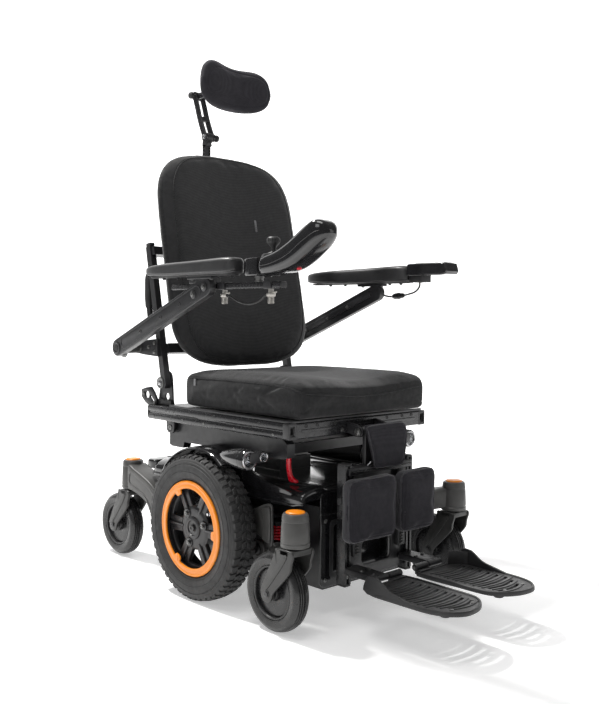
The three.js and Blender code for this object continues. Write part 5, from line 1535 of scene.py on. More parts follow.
def back_hard():
    # moulded shell behind the cushion
    out = [(x * 0.765, 297 + (z - 297) * 0.925) for x, z in back_outline()]
    sh = in_back(plate("shell", out, "y", 68.6, 79.8, "plastic", bev=3, res=3))
    ribs = []
    levels = ((1.0, 79), (0.97, 104), (0.90, 128), (0.80, 139.4), (0.66, 139.9))
    rings = []
    for k, d in levels:
        w = 160 - (1 - k) * 110
        a, b = 150 + (1 - k) * 110, 462 - (1 - k) * 90
        rings.append([back_pt(x, d, z) for x, z in rrect(-w, w, a, b, 40, 8)])
    bump = loft("bump", rings, "plastic", 40)
    pads = []
    for x in (-96, -48, 0, 48, 96):
        pads.append(in_back(plate("slot", stadium((x, 230), (x, 380), 7, 8), "y", 139, 141, "plastic_smooth", bev=0.8)))
    for sx in (-1, 1):
        for z in (84, 540):
            b = hexbolt("sb", "y", (sx * (120 if z < 300 else 104), 79.6, z), 6, 4, "zinc", 1)
            in_back(b)
            pads.append(b)
    on(merge("back_shell_v", [sh, bump, *pads]), "back", ["back_shell"])
    keep("back_frame", "paint", 1.0)
    extra = []
    for s in (1, -1):
        # rubber grips and end plugs of the handles, cane caps, pivot hardware
        extra.append(tube("grip", [(s * 221, 291, 799.6), (s * 221, 296.6, 802.6), (s * 221, 301.4, 791), (s * 221, 302, 768), (s * 221, 302, 742), (s * 221, 298.4, 716)], 10.6, "rubber", res=5))
        for k in range(6):
            pass
        c = plate("cane", rrect(s * 221 - 9.4, s * 221 + 9.4, 91.4, 112.6, 6, 4), "z", 346, 353, "plastic", bev=1.6)
        in_back(c)
        extra.append(c)
        extra.append(lathe("disc", [(0, s * 230.2), (15.4, s * 230.2), (15.4, s * 232), (12, s * 232.6), (9.5, s * 231.6), (0, s * 231.6)], "x", (0, 232, 515), "zinc", 40))
        extra.append(hexbolt("pb", "x", (s * 231.6, 232, 515), 6, 4, "steel", s))
        for y, z in ((246, 596), (246, 620), (274, 609)):
            extra.append(hexbolt("ab", "x", (s * 240, y, z), 4.2, 3, "zinc", s))
        extra.append(lathe("pcap", [(0, s * 305.2), (7.6, s * 305.2), (8.8, s * 306.4), (8.8, s * 309.4), (7.6, s * 310.6), (0, s * 311)], "x", (0, 324, 607), "plastic_smooth", 32))
        extra.append(lathe("collar", [(9.2, s * 286.6), (15.4, s * 286.6), (16.2, s * 285.6), (16.2, s * 279), (15.2, s * 278), (15.9, s * 277), (15.9, s * 243), (17.4, s * 241.4), (17.4, s * 240.2), (9.2, s * 240.2)], "x", (0, 324, 607), "grey_dark", 40))
        for z in (90, 190, 300):
            h = lathe("hole", [(0, 0), (4.2, 0), (4.2, s * 0.4), (3.4, s * 0.5), (3.2, s * 0.1), (0, s * 0.1)], "x", (s * 229.8, 102, z), "rubber", 22)
            in_back(h)
            extra.append(h)
    on(merge("back_fittings", extra), "back")


back_hard()


# ---------------------------------------------------------------- headrest
def headrest():
    keep("headrest_mount", "paint", 1.4)
    # stem with index holes
    st = [rbox("st", -8.8, 8.8, 338 - 8.8, 338 + 8.8, 1006, 1188, "paint_gloss", 2)]
    for k in range(6):
        st.append(lathe("h", [(0, 0), (2.6, 0), (2.6, -0.4), (0, -0.4)], "x", (-8.7, 338, 1120 + k * 11), "rubber", 16))
    neck = [(346, 1180), (347, 1195), (342, 1209), (336, 1217), (328, 1219.6), (319, 1216), (315.6, 1207), (319, 1198), (325, 1190), (329, 1180)]
    st.append(plate("neck", smooth_loop(neck, 3), "x", -8.8, 8.8, "paint", [circle(328, 1207, 5.6, 28)], bev=1.8, res=3))
    st.append(hexbolt("sb", "x", (8.8, 332, 1186), 4, 3.4))
    on(merge("headrest_stem_v", st), "headrest_post", ["headrest_stem"])

    # curved double link, silver clamp bolts and knobs
    a, b = (328, 1207), (376, 1331)
    path = [(328, 1207), (337, 1226), (347, 1248), (356, 1271), (364, 1295), (371.6, 1316), (376, 1331)]
    P = smooth_path(path, 6)
    out_l, out_r = [], []
    for i, p in enumerate(P):
        q0, q1 = P[max(0, i - 1)], P[min(len(P) - 1, i + 1)]
        t = Vector((q1[0] - q0[0], q1[1] - q0[1])).normalized()
        w = 9.2
        out_l.append((p[0] - t.y * w, p[1] + t.x * w))
        out_r.append((p[0] + t.y * w, p[1] - t.x * w))
    outline = out_l + list(reversed(out_r))
    lk = []
    for s in (1, -1):
        x0, x1 = (10.2, 15.8) if s > 0 else (-15.8, -10.2)
        lk.append(plate("lk", outline, "x", x0, x1, "paint_gloss", bev=1.6, res=3))
        lk.append(lathe("eyeA", [(5.2, s * 10), (12, s * 10), (12, s * 16), (5.2, s * 16)], "x", (0, *a), "paint_gloss", 36))
        lk.append(lathe("eyeB", [(5.5, s * 10), (12, s * 10), (12, s * 16), (5.5, s * 16)], "x", (0, *b), "paint_gloss", 36))
    lk.append(lathe("pinA", [(0, -14), (4.9, -14), (4.9, 14), (0, 14)], "x", (0, *a), "steel", 24))
    lk.append(rbox("brace", -10.4, 10.4, 342, 356, 1254, 1268, "paint", 2))
    knob = [(0, 0), (4, 0), (4, 5), (7.4, 6.2), (9.8, 8), (10.2, 11), (9.6, 15.4), (8.2, 17), (0, 17.4)]
    kn = lathe("kA", [(r, 15.6 + h) for r, h in knob], "x", (0, *a), "plastic", 10, 50)
    kn2 = lathe("kB", [(r, -15.6 - h) for r, h in knob], "x", (0, *b), "plastic", 10, 50)
    lk += [kn, kn2, hexbolt("nA", "x", (-16, *a), 6, 5, "steel", -1), hexbolt("nB", "x", (16, *b), 6, 5, "steel", 1)]
    on(merge("headrest_link_v", lk), "headrest_arm", ["headrest_link"])

    # pad: crescent in plan, taller wing at the occupant's right
    rings = []
    n = 26
    for i in range(n + 1):
        t = (i / n) * 2 - 1
        x = 122 * t
        yc = 223 - 26 * t * t
        k = math.sqrt(max(0.0, 1 - abs(t) ** 3.2))
        top = 72 - 6 * math.cos(t * pi * 0.9) + (9 if t < 0 else -4) * abs(t)
        bot = 60
        w = 21 * (0.30 + 0.70 * k)
        kt = 0.12 + 0.88 * k
        slope = -52 * t / 122
        nn = math.hypot(1, slope)
        ring = []
        for j in range(28):
            a_ = 2 * pi * (j + 0.5) / 28
            cu = math.copysign(abs(math.cos(a_)) ** 0.75, math.cos(a_)) * w
            h = (top if math.sin(a_) > 0 else bot) * kt
            cz = math.copysign(abs(math.sin(a_)) ** 0.62, math.sin(a_)) * h
            ring.append((x - cu * slope / nn, yc + cu / nn, 1322 + cz))
        rings.append(ring)
    pad = loft("hp", rings, "pad", 80)
    soften(pad, 4.0, 6, 4.0, None, stiff=14)
    # seam round the front panel
    loop = []
    for k in range(40):
        a_ = 2 * pi * k / 40
        x = 108 * math.copysign(abs(math.cos(a_)) ** 0.8, math.cos(a_))
        z = 1325 + 53 * math.copysign(abs(math.sin(a_)) ** 0.7, math.sin(a_))
        t = x / 122
        loop.append((x, 223 - 26 * t * t - 30, z))
    lp = follow(pad, loop, 0)
    seam(pad, [*lp, lp[0]], 2.0, 1.3)
    seamb = []
    hb = [(0, 236, 1329)]
    parts = [pad]
    parts.append(plate("plate", rrect(-29, 29, 1305.5, 1356.5, 8, 6), "y", 244, 251.6, "plastic", bev=1.6, res=3))
    for sx, sz in ((-20, 1314), (20, 1314), (-20, 1348), (20, 1348)):
        parts.append(hexbolt("pb", "y", (sx, 251.4, sz), 3.6, 2.6))
    parts.append(rbox("bar", -8.8, 8.8, 248, 369, 1322.4, 1339.6, "paint_gloss", 2.5))
    parts.append(lathe("eye", [(4.9, -9.4), (11.2, -9.4), (12, -8.6), (12, 8.6), (11.2, 9.4), (4.9, 9.4)], "x", (0, *b), "paint_gloss", 36))
    parts.append(lathe("pinB", [(0, -14), (4.9, -14), (4.9, 14), (0, 14)], "x", (0, *b), "steel", 24))
    parts.append(lathe("clamp", [(12.6, 0), (12.6, 16), (10, 17), (10, -1), ], "y", (0, 266, 1331), "zinc", 36))
    m = merge("headrest_pad_v", parts)
    on(m, "headrest", ["headrest_pad"])
    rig.padded(m, 0.8)


headrest()


# -------------------------------------------------------------------- arms
def arm_links():
    # flat hollow beam with a pressed recess, pivot discs and a thinner inner bar
    out = stadium((324, 607), (-60, 762), 22.8, 14)
    parts = [plate("al", out, "x", 288.4, 307.6, "paint", [circle(324, 607, 9.6, 32)], bev=2.6, res=4)]
    rim = plate("alr", stadium((286, 622.5), (-30, 750), 17.5, 12), "x", 307.2, 308.6, "paint", [stadium((286, 622.5), (-30, 750), 14.2, 12)], bev=0.6)
    parts.append(rim)
    inner = plate("ali", stadium((300, 619), (-40, 756), 8, 10), "x", 283.4, 288.8, "paint", bev=1.2)
    parts.append(inner)
    for y, z in ((-60, 762), (-18, 745)):
        parts.append(lathe("d", [(0, 307.2), (10.5, 307.2), (10.5, 309.2), (9, 310.2), (0, 310.2)], "x", (0, y, z), "paint", 32))
        parts.append(hexbolt("b", "x", (310, y, z), 5, 3.2, "zinc"))
    for y, z in ((210, 653), (120, 690), (40, 722)):
        parts.append(lathe("h", [(0, 307.4), (5.4, 307.4), (5.4, 308.2), (4.4, 308.6), (4.0, 307.8), (0, 307.8)], "x", (0, y, z), "rubber", 24))
        parts.append(hexbolt("bi", "x", (283.2, y, z), 4, 3, "zinc", -1))
    parts.append(lathe("ring", [(9.6, 307), (17.5, 307), (17.5, 309.2), (15.8, 310.2), (11.4, 310.2), (9.6, 309)], "x", (0, 324, 607), "paint", 44))
    # stop cam at the pivot
    parts.append(plate("cam", smooth_loop([(306, 590), (318, 580), (334, 584), (344, 596), (338, 600), (322, 588), (310, 598)], 3), "x", 284, 288.4, "zinc", bev=0.8))
    o = merge("arm_link", parts)
    both(o, "arm_link", "arm_*", ["arm_link_*"])


arm_links()


def arm_pad(side, y0, y1, z0, z1):
    s = 1 if side == "left" else -1
    L = y1 - y0
    rings = []
    keys = [(0.0, 10, 9, 9), (0.006, 16, 5, 6), (0.02, 22, 2, 3), (0.05, 26.5, 0.5, 1), (0.12, 29, 0, 0.5), (0.33, 30, 0, 3.5), (0.55, 30, 0, 5), (0.72, 29, 0.5, 6.5), (0.86, 26, 2, 9), (0.94, 22, 4.5, 12), (0.98, 17, 7, 15), (0.995, 12, 9, 17), (1.0, 8, 11, 19)]
    n = 32
    for t, w, a, b in keys:
        y = y0 + L * t
        ring = []
        zc, h = (z0 + a + z1 - b) / 2, (z1 - b - z0 - a) / 2
        for j in range(n):
            an = 2 * pi * (j + 0.5) / n
            cx = math.copysign(abs(math.cos(an)) ** 0.55, math.cos(an)) * w
            e = 0.55 if math.sin(an) > 0 else 0.32
            cz = math.copysign(abs(math.sin(an)) ** e, math.sin(an)) * h
            # the top sinks a little along its middle
            if math.sin(an) > 0.5 and 0.1 < t < 0.9:
                cz -= 1.6 * math.exp(-(cx / (w * 0.5)) ** 2)
            ring.append((s * 296 + cx, y, zc + cz))
        rings.append(ring)
    o = loft("ap", rings, "armpad", 60)
    subsurf(o, 2)
    bake(o)
    for f in o.data.polygons:
        f.use_smooth = True
    # parting seam round the side and a base plate with screws
    loop = []
    for t, w, a, b in keys[1:-1]:
        loop.append((s * 296 + w, y0 + L * t, z0 + a + 5))
    back_ = [(s * 296 - (x - s * 296), y, z) for x, y, z in reversed(loop)]
    lp = follow(o, smooth_loop(loop + back_, 4), 0)
    seam(o, [*lp, lp[0]], 1.3, 0.9)
    parts = [o]
    parts.append(plate("base", stadium((s * 296, y0 + 26), (s * 296, y1 - 40), 19, 12), "z", z0 - 0.9, z0 + 3, "plastic", bev=0.7))
    m = merge(f"arm_pad_{side}_v", parts)
    on(m, f"arm_{side}", [f"arm_pad_{side}"])
    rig.padded(m, 0.9)
    # bracket under the pad that carries it on the link
    b = []
    xs = (288.2, 308)
    x0, x1 = xs if s > 0 else (-xs[1], -xs[0])
    b.append(rbox("sad", x0 - 2 if s < 0 else x0, x1 if s < 0 else x1 + 2, -88, 6, 780.5, 787.4, "paint", 1.6))
    for y in (-76, -6):
        b.append(hexbolt("sb", "z", (s * 300, y, 780.6), 4, 3, "zinc", -1))
    for y in ((-150, -110, 60, 120) if s > 0 else (-150, 60, 120)):
        b.append(hexbolt("ub", "z", (s * 296, y, z0 - 0.9), 4.2, 4.5, "plastic_smooth", -1))
    on(merge(f"arm_bracket_{side}", b), f"arm_{side}")


arm_pad("right", -174, 184, 788, 830)
arm_pad("left", -187, 209, 788, 836)


def joystick_parts():
    # square rail, end plugs, clamps with silver levers
    r = [plate("rail", rrect(-281.8, -262.2, 757.2, 770.8, 2.4, 4), "y", -297, 107, "paint_gloss", bev=0.8),
         plate("plug", rrect(-281, -263, 758, 770, 2.4, 4), "y", -300, -296.6, "plastic", bev=1.2),
         plate("plug", rrect(-281, -263, 758, 770, 2.4, 4), "y", 106.6, 110, "plastic", bev=1.2),
         rbox("cl", -285.8, -258.2, -61.6, 29.6, 771, 787, "paint", 2.4),
         rbox("cl2", -287.4, -280, -59.6, 19.6, 757.2, 771, "paint", 1.6),
         rbox("cl3", -285.6, -259, -270, -244, 755.4, 773, "paint", 2.2),
         rbox("cl4", -285.6, -259, -106, -80, 755.4, 773, "paint", 2.2)]
    for y in (-44, 6):
        r.append(hexbolt("cb", "x", (-287.4, y, 764), 4, 3, "zinc", -1))
    for k in range(9):
        r.append(lathe("ih", [(0, 0), (1.9, 0), (1.9, -0.4), (0, -0.4)], "x", (-281.6, -228 + k * 11, 764), "rubber", 14))
    for y in (-257, -93):
        prof = [(0, 722.2), (5.4, 722.2), (7.2, 723.6), (7.2, 727)]
        z = 727
        for k in range(3):
            prof += [(6.7, z + 0.5), (6.7, z + 1.1), (7.2, z + 1.6), (7.2, z + 3.0)]
            z += 3.4
        prof += [(7.2, 738), (9.8, 738.8), (10.2, 740), (10.2, 745), (9.4, 746.2), (6.2, 746.6), (6.2, 757), (0, 757)]
        r.append(lathe("kn", prof, "z", (-272, y, 0), "alloy", 36, 30))
        r.append(plate("tab", stadium((-272, y), (-272 + 0.1, y - 12), 5, 8), "z", 746.4, 750.5, "alloy", bev=1))
        r.append(lathe("gl", [(2.7, -3), (4.2, -3), (4.2, 3), (2.7, 3)], "y", (-272, y + (8 if y < -200 else -8), 742), "rubber", 20))
    on(merge("joystick_rail_v", r), "arm_right", ["joystick_rail"])

    # palm-shaped body: closed loft along its length with a domed nose
    prof_top = [(-236, 823.6), (-268, 830.5), (-300, 838.6), (-343, 859.4), (-380, 883.4), (-400, 894.4), (-412, 898.2), (-424, 896.8), (-434, 891.6), (-441, 885), (-445.4, 877.6), (-446.8, 871)]
    prof_bot = [(-236, 783.6), (-268, 784.8), (-300, 786.8), (-343, 794.4), (-380, 813.4), (-400, 826.4), (-412, 834.4), (-424, 843.4), (-434, 851.6), (-441, 857.8), (-445.4, 863), (-446.8, 867)]
    wid = [35, 35, 34.8, 34.6, 34.4, 33.6, 32.4, 29.6, 24.6, 18.6, 12, 5]
    rings = []
    n = 36
    for (yt, zt), (yb, zb), w in zip(prof_top, prof_bot, wid):
        ring = []
        for j in range(n):
            an = 2 * pi * (j + 0.5) / n
            cx = math.copysign(abs(math.cos(an)) ** 0.5, math.cos(an)) * w
            sn = math.copysign(abs(math.sin(an)) ** 0.62, math.sin(an))
            z = (zt + zb) / 2 + sn * (zt - zb) / 2
            y = yt
            ring.append((-270 + cx, y, z))
        rings.append(ring)
    body = loft("pod", rings, "gloss", 60)
    subsurf(body, 2)
    bake(body)
    for f in body.data.polygons:
        f.use_smooth = True
    parts = [body]
    # rear round end
    half = []
    for z0_, z1_, r_ in ((783.8, 785.2, 32), (785.2, 822, 34.6), (822, 824.2, 32)):
        pass
    parts.append(lathe("rear", [(0, 783.8), (31.5, 783.8), (34.2, 785.4), (35, 788), (35, 819.6), (34, 822.4), (31, 823.9), (0, 824.2)], "z", (-270, -215, 0), "gloss", 56, 50))
    parts.append(plate("mid", rrect(-304.8, -235.2, -246, -214, 1.5, 3), "z", 784, 823.8, "gloss", bev=3, res=4))
    # raised seat of the joystick, parting line, screws, red button below
    parts.append(lathe("seat", [(19.2, 818), (19.2, 829.5), (20.4, 831.6), (22.8, 832.2), (25, 831.2), (26.4, 828), (27.6, 824), (30, 821)], "z", (-270, -262, 0), "plastic_smooth", 56))
    line = []
    for y, z in ((-250, 804), (-290, 809), (-340, 824), (-385, 850), (-420, 868), (-438, 872)):
        line.append((-306, y, z))
    L1 = follow(body, smooth_path(line, 8), 0.1)
    parts.append(tube("line", L1, 0.7, "plastic", res=2, smooth=False))
    L2 = follow(body, smooth_path([(-234, y, z) for _, y, z in line], 8), 0.1)
    parts.append(tube("line", L2, 0.7, "plastic", res=2, smooth=False))
    q = follow(body, [(-270, -352, 780)], 0)[0]
    parts.append(lathe("red", [(0, 1.5), (5.6, 1.5), (5.6, -1.6), (4.4, -2.8), (0, -3.0)], "z", q, "red", 28))
    # a soft key strip on the slope
    for k in range(4):
        y = -352 - 13 * k
        t = follow(body, [(-270, y, 900)], 0)[0]
        parts.append(loft("key", [[(-270 + dx * 1.0, t[1] + dy, t[2] - dy * 0.53 + h) for dx, dy in rrect(-13, 13, -3.6, 3.6, 2.8, 4)] for h in (-2, 0.6)] +
                     [[(-270 + dx * 0.93, t[1] + dy * 0.85, t[2] - dy * 0.45 + 1.2) for dx, dy in rrect(-13, 13, -3.6, 3.6, 2.8, 4)]], "rubber", 40))
    for y in (-232, -330):
        parts.append(hexbolt("us", "z", (-288, y, 785 if y > -300 else 792.6), 3.2, 2.6, "zinc", -1))
    parts.append(lathe("post", [(0, 771.6), (11, 771.6), (11, 774), (9.4, 775), (9.4, 780), (11, 781), (11, 784.2), (0, 784.2)], "z", (-270, -215, 0), "zinc", 32))
    on(merge("control_pod_v", parts), "pod", ["control_pod"])

    # bellows of three rings
    bel = [(0, 817.2), (12, 817.4), (15.6, 819), (16.8, 821.4), (15.6, 823.6), (12.4, 824.6), (12.0, 825.2), (14.2, 826), (15, 827.8), (13.8, 829.8), (10.6, 830.6), (10.2, 831.2), (12.2, 832), (12.8, 833.6), (11.6, 835.4), (8, 836.2), (6.4, 837), (5.6, 839.2), (0, 839.6)]
    on(lathe("joystick_boot_v", bel, "z", (-270, -262, 0), "rubber", 48, 50), "joystick_gimbal", ["joystick_boot"])
    kn = [(0, 840.4), (5, 840.4), (5.6, 844), (6.6, 847), (9.6, 851), (13, 854.6), (14.6, 858.6), (15, 862), (14.4, 865.6), (12.4, 868.6), (9, 870.2), (8, 869.6), (4, 868.8), (0, 868.6)]
    kb = [lathe("kn", kn, "z", (-270, -262, 0), "rubber", 44, 50)]
    for k in range(10):
        a_ = 36 * k * D
        kb.append(tube("rb", [(-270 + 13.9 * math.cos(a_), -262 + 13.9 * math.sin(a_), 856), (-270 + 15.1 * math.cos(a_), -262 + 15.1 * math.sin(a_), 862), (-270 + 13.6 * math.cos(a_), -262 + 13.6 * math.sin(a_), 867)], 0.9, "rubber", res=2, n=3))
    on(merge("joystick_knob_v", kb), "joystick", ["joystick_knob"])


joystick_parts()


def switch_box():
    prof = [(-318, 808), (-318, 832), (-311, 837.4), (-270, 837.8), (-200, 837.8), (-190, 835), (-188, 829), (-188, 812), (-192, 806), (-256, 806)]
    p = [plate("sw", smooth_loop(prof, 3), "x", 272.4, 325.6, "gloss", bev=3.4, res=4),
         plate("sw2", rrect(280.4, 317.6, -239.6, -188.4, 6, 5), "z", 788.4, 807, "plastic", bev=1.6)]
    # four rows of two soft keys, one round rocker
    for i, y in enumerate((-302, -280, -258, -236)):
        p.append(plate("k", rrect(282, 296, y - 7, y + 7, 3.4, 5), "z", 837, 839.2, "rubber", bev=0.8))
        p.append(plate("k", rrect(302, 316, y - 7, y + 7, 3.4, 5), "z", 837, 839.2, "rubber", bev=0.8))
    p.append(lathe("rk", [(0, 837), (10.5, 837), (10.5, 839.4), (8.6, 840), (6, 839.2), (0, 839)], "z", (299, -211, 0), "plastic_smooth", 36))
    p.append(plate("frame", rrect(278, 320, -312, -226, 6, 5), "z", 836.8, 838.4, "plastic_smooth", [rrect(280.4, 317.6, -309.6, -228.4, 4.4, 5)], bev=0.6))
    p.append(lathe("gland", [(2.8, 788.2), (6, 788.2), (6.4, 787.9), (6.4, 789), (2.8, 789)], "z", (299, -214, 0), "rubber", 24))
    for y in (-230, -198):
        p.append(hexbolt("s", "z", (286, y, 788.6), 2.8, 2, "zinc", -1))
    on(merge("switch_box_v", p), "arm_left", ["switch_box"])


switch_box()


# ------------------------------------------------------------------ legrest
def leg_column():
    c = []
    for s in (1, -1):
        def X(a, b):
            return (a, b) if s > 0 else (-b, -a)
        x0, x1 = X(98, 118)
        # extruded post with a channel in its front
        sec = [(x0, -345), (x0 + 6.4, -345), (x0 + 6.4, -340), (x1 - 6.4, -340), (x1 - 6.4, -345), (x1, -345), (x1, -318), (x0, -318)]
        c.append(plate("post", sec, "z", 78, 354, "paint_gloss", bev=1.1, res=3))
        c.append(plate("cap", rrect(x0 - 0.4, x1 + 0.4, -345.4, -317.6, 3, 4), "z", 352.6, 358, "plastic", bev=1.6))
        c.append(plate("cap", rrect(x0 - 0.4, x1 + 0.4, -345.4, -317.6, 3, 4), "z", 74, 80, "plastic", bev=1.6))
        for z in (96, 188, 222, 306):
            c.append(hexbolt("pb", "y", ((x0 + x1) / 2, -340, z), 4.4, 4, "zinc", -1))
        xo = s * 118
        for z in (240, 272):
            c.append(lathe("side", [(0, 0), (7.6, 0), (8.6, s * 1.2), (8.6, s * 5), (7, s * 6.8), (0, s * 7)], "x", (xo, -331, z), "plastic_smooth", 32))
        # toothed height strip with its slider
        x0, x1 = X(66, 92)
        c.append(plate("strip", rrect(x0, x1, 140, 335, 4, 4), "y", -346, -331, "plastic", bev=1))
        for k in range(17):
            z = 146 + k * 7
            c.append(rbox("tooth", x0 + 7, x1 - 7, -350, -345, z, z + 3.6, "grey_dark", 0.9))
        c.append(rbox("slider", *X(62.4, 95.6), -363.6, -348.4, 250.4, 277.6, "plastic", 2.4))
        for a, b in ((62.2, 69.8), (88.2, 95.8)):
            e0, e1 = X(a, b)
            c.append(plate("ear", stadium((-352, 264), (-372, 264), 7.9, 10), "x", e0, e1, "plastic", bev=1.2))
            c.append(lathe("earp", [(0, e0 + 0.2), (4, e0 - 1.0), (4, e1 + 1.0), (0, e1 - 0.2)], "x", (0, -372, 264), "zinc", 20))
        # foot hinge bracket
        c.append(rbox("fb", *X(74.3, 117.7), -427.6, -340.4, 104.4, 119.6, "paint", 2.2))
        c.append(lathe("fbh", [(0, s * 72.6), (6.8, s * 72.6), (8, s * 73.6), (8, s * 118.8), (6.8, s * 119.8), (0, s * 119.8)], "x", (0, -432, 112), "paint", 32))
        for x in (84, 108):
            c.append(hexbolt("fbb", "z", (s * x, -388, 119.4), 4.6, 3.4, "zinc"))
    c.append(plate("web", rrect(-99, 99, 87, 349, 6, 4), "y", -335.6, -330.4, "paint", [rrect(-52, 52, 112, 168, 14, 6), rrect(-52, 52, 192, 226, 14, 6), stadium((-30, 300), (30, 300), 9, 8)], bev=0.9))
    c.append(rbox("bar", -109.6, 109.6, -350.6, -318.4, 330.4, 347.6, "paint", 3))
    c.append(tube("lip", [(-104, -351.4, 339), (-60, -352.4, 339), (60, -352.4, 339), (104, -351.4, 339)], 2.2, "paint_gloss", res=3))
    c.append(plate("neck", rrect(-39.6, 39.6, 338, 424, 5, 5), "y", -333.8, -322.2, "paint", bev=1.6))
    c.append(lathe("hub", [(6, -42.2), (11, -42.2), (12, -41), (12, 41), (11, 42.2), (6, 42.2)], "x", (0, -322, 425), "paint", 36))
    c.append(lathe("pin", [(0, -59.8), (6, -59.8), (6, 59.8), (0, 59.8)], "x", (0, -322, 425), "zinc", 28))
    for s in (1, -1):
        c.append(hexbolt("pn", "x", (s * 56, -322, 425), 8, 4, "zinc", s))
    # latch handle loop across the front of the cross bar
    c.append(tube("latch", [(-46, -346, 349), (-40, -351, 356), (-20, -354, 359), (20, -354, 359), (40, -351, 356), (46, -346, 349)], 2.4, "steel", res=4))
    on(merge("leg_column_v", c), "legrest", ["leg_column"])


leg_column()


def calf_pad(side, x0, x1, body):
    rings = []
    for y, k in ((-414, 14), (-415.4, 8), (-413, 4), (-407, 1.2), (-399, 0), (-390, 0), (-386, 1.5), (-384, 6)):
        rings.append([(x, y, z) for x, z in rrect(x0 + k, x1 - k, 192 + k, 336 - k, max(5, 19 - k * 0.5), 8)])
    o = loft("cp", rings, "pad", 80)

    def pin(co):
        yy = co.y / S - OY
        return max(0.05, min(1.0, (-387 - yy) / 8))
    soften(o, 4.0, 4, 3.5, pin, stiff=14)
    front = rrect(x0 + 8, x1 - 8, 200, 328, 16, 8)
    loop = follow(o, [(x, -416, z) for x, z in smooth_loop(front[::3], 4)], 0)
    # groove round the front panel
    seam(o, [*loop, loop[0]], 1.8, 1.4)
    rim = smooth_loop([(x, z) for x, z in rrect(x0 + 2.2, x1 - 2.2, 194.2, 333.8, 18, 8)][::2], 3)
    lp = follow(o, [(x, -407, z) for x, z in rim], 0.2)
    pipe = tube("pp", [*lp, lp[0]], 1.5, "pad_edge", res=3, smooth=False, caps=False)
    o.data.materials.append(MAT["pad_edge"])
    for f in o.data.polygons:
        if f.normal.y > -0.55:
            f.material_index = 1
    s = 1 if x0 + x1 > 0 else -1
    e0, e1 = (71, 87) if s > 0 else (-87, -71)
    parts = [o, pipe, rbox("hl", e0, e1, -387, -368, 258.2, 269.8, "plastic", 1.6), plate("bk", rrect(x0 + 20, x1 - 20, 212, 316, 12, 6), "y", -384.4, -381, "plastic", bev=1),
             lathe("hp", [(0, e0 - 0.2), (5.6, e0 - 0.2), (6, e0 + 0.6), (6, e1 - 0.6), (5.6, e1 + 0.2), (0, e1 + 0.2)], "x", (0, -372, 264), "plastic", 28)]
    m = merge(f"calf_pad_{side}_v", parts)
    on(m, body, [f"calf_pad_{side}"])
    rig.padded(m, 0.9)


calf_pad("right", -175, -14, "calf_right")
calf_pad("left", 0, 128, "calf_left")


def knee_flap():
    keys = [(342, 49, -363.5), (346, 52, -364.5), (360, 56, -365), (380, 61, -364), (400, 66, -362), (416, 69, -359.4), (430, 69.5, -356), (438, 69, -351), (443.4, 66, -346)]
    rings = []
    for z, w, y in keys:
        rings.append([(12 + dx, y + dy, z) for dx, dy in rrect(-w, w, 0.8, 11.2, 4.6, 5)])
    o = loft("kf", rings, "pad", 80)
    soften(o, 2.6, 1.6, 3, None, stiff=20)
    front = [(12 - 44, -366, 352), (12, -366, 350), (12 + 44, -366, 352), (12 + 55, -366, 392), (12 + 61, -362, 428), (12, -362, 433), (12 - 61, -362, 428), (12 - 55, -366, 392)]
    lp = follow(o, smooth_loop(front, 6), 0)
    seam(o, [*lp, lp[0]], 1.5, 1.0)
    edge = [(12 - 50, -364, 343), (12, -364, 341.6), (12 + 50, -364, 343), (12 + 57, -365, 362), (12 + 66, -363, 398), (12 + 69.6, -358, 430), (12 + 66, -352, 441), (12, -350, 444), (12 - 66, -352, 441), (12 - 69.6, -358, 430), (12 - 66, -363, 398), (12 - 57, -365, 362)]
    ep = follow(o, smooth_loop(edge, 6), 0.1)
    pipe = tube("kp", [*ep, ep[0]], 1.3, "pad_edge", res=3, smooth=False, caps=False)
    m = merge("knee_flap_v", [o, pipe])
    b = "legrest"
    on(m, [k for k, v in BODY_OF.items() if "knee_flap" in v][0], ["knee_flap"])
    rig.padded(m, 0.9)


BODY_OF = {b["name"]: b.get("nodes", []) for b in frame["record"]["behaviour"]["bodies"]} if isinstance(frame["record"]["behaviour"]["bodies"], list) else dict(frame["record"]["behaviour"]["bodies"])
knee_flap()


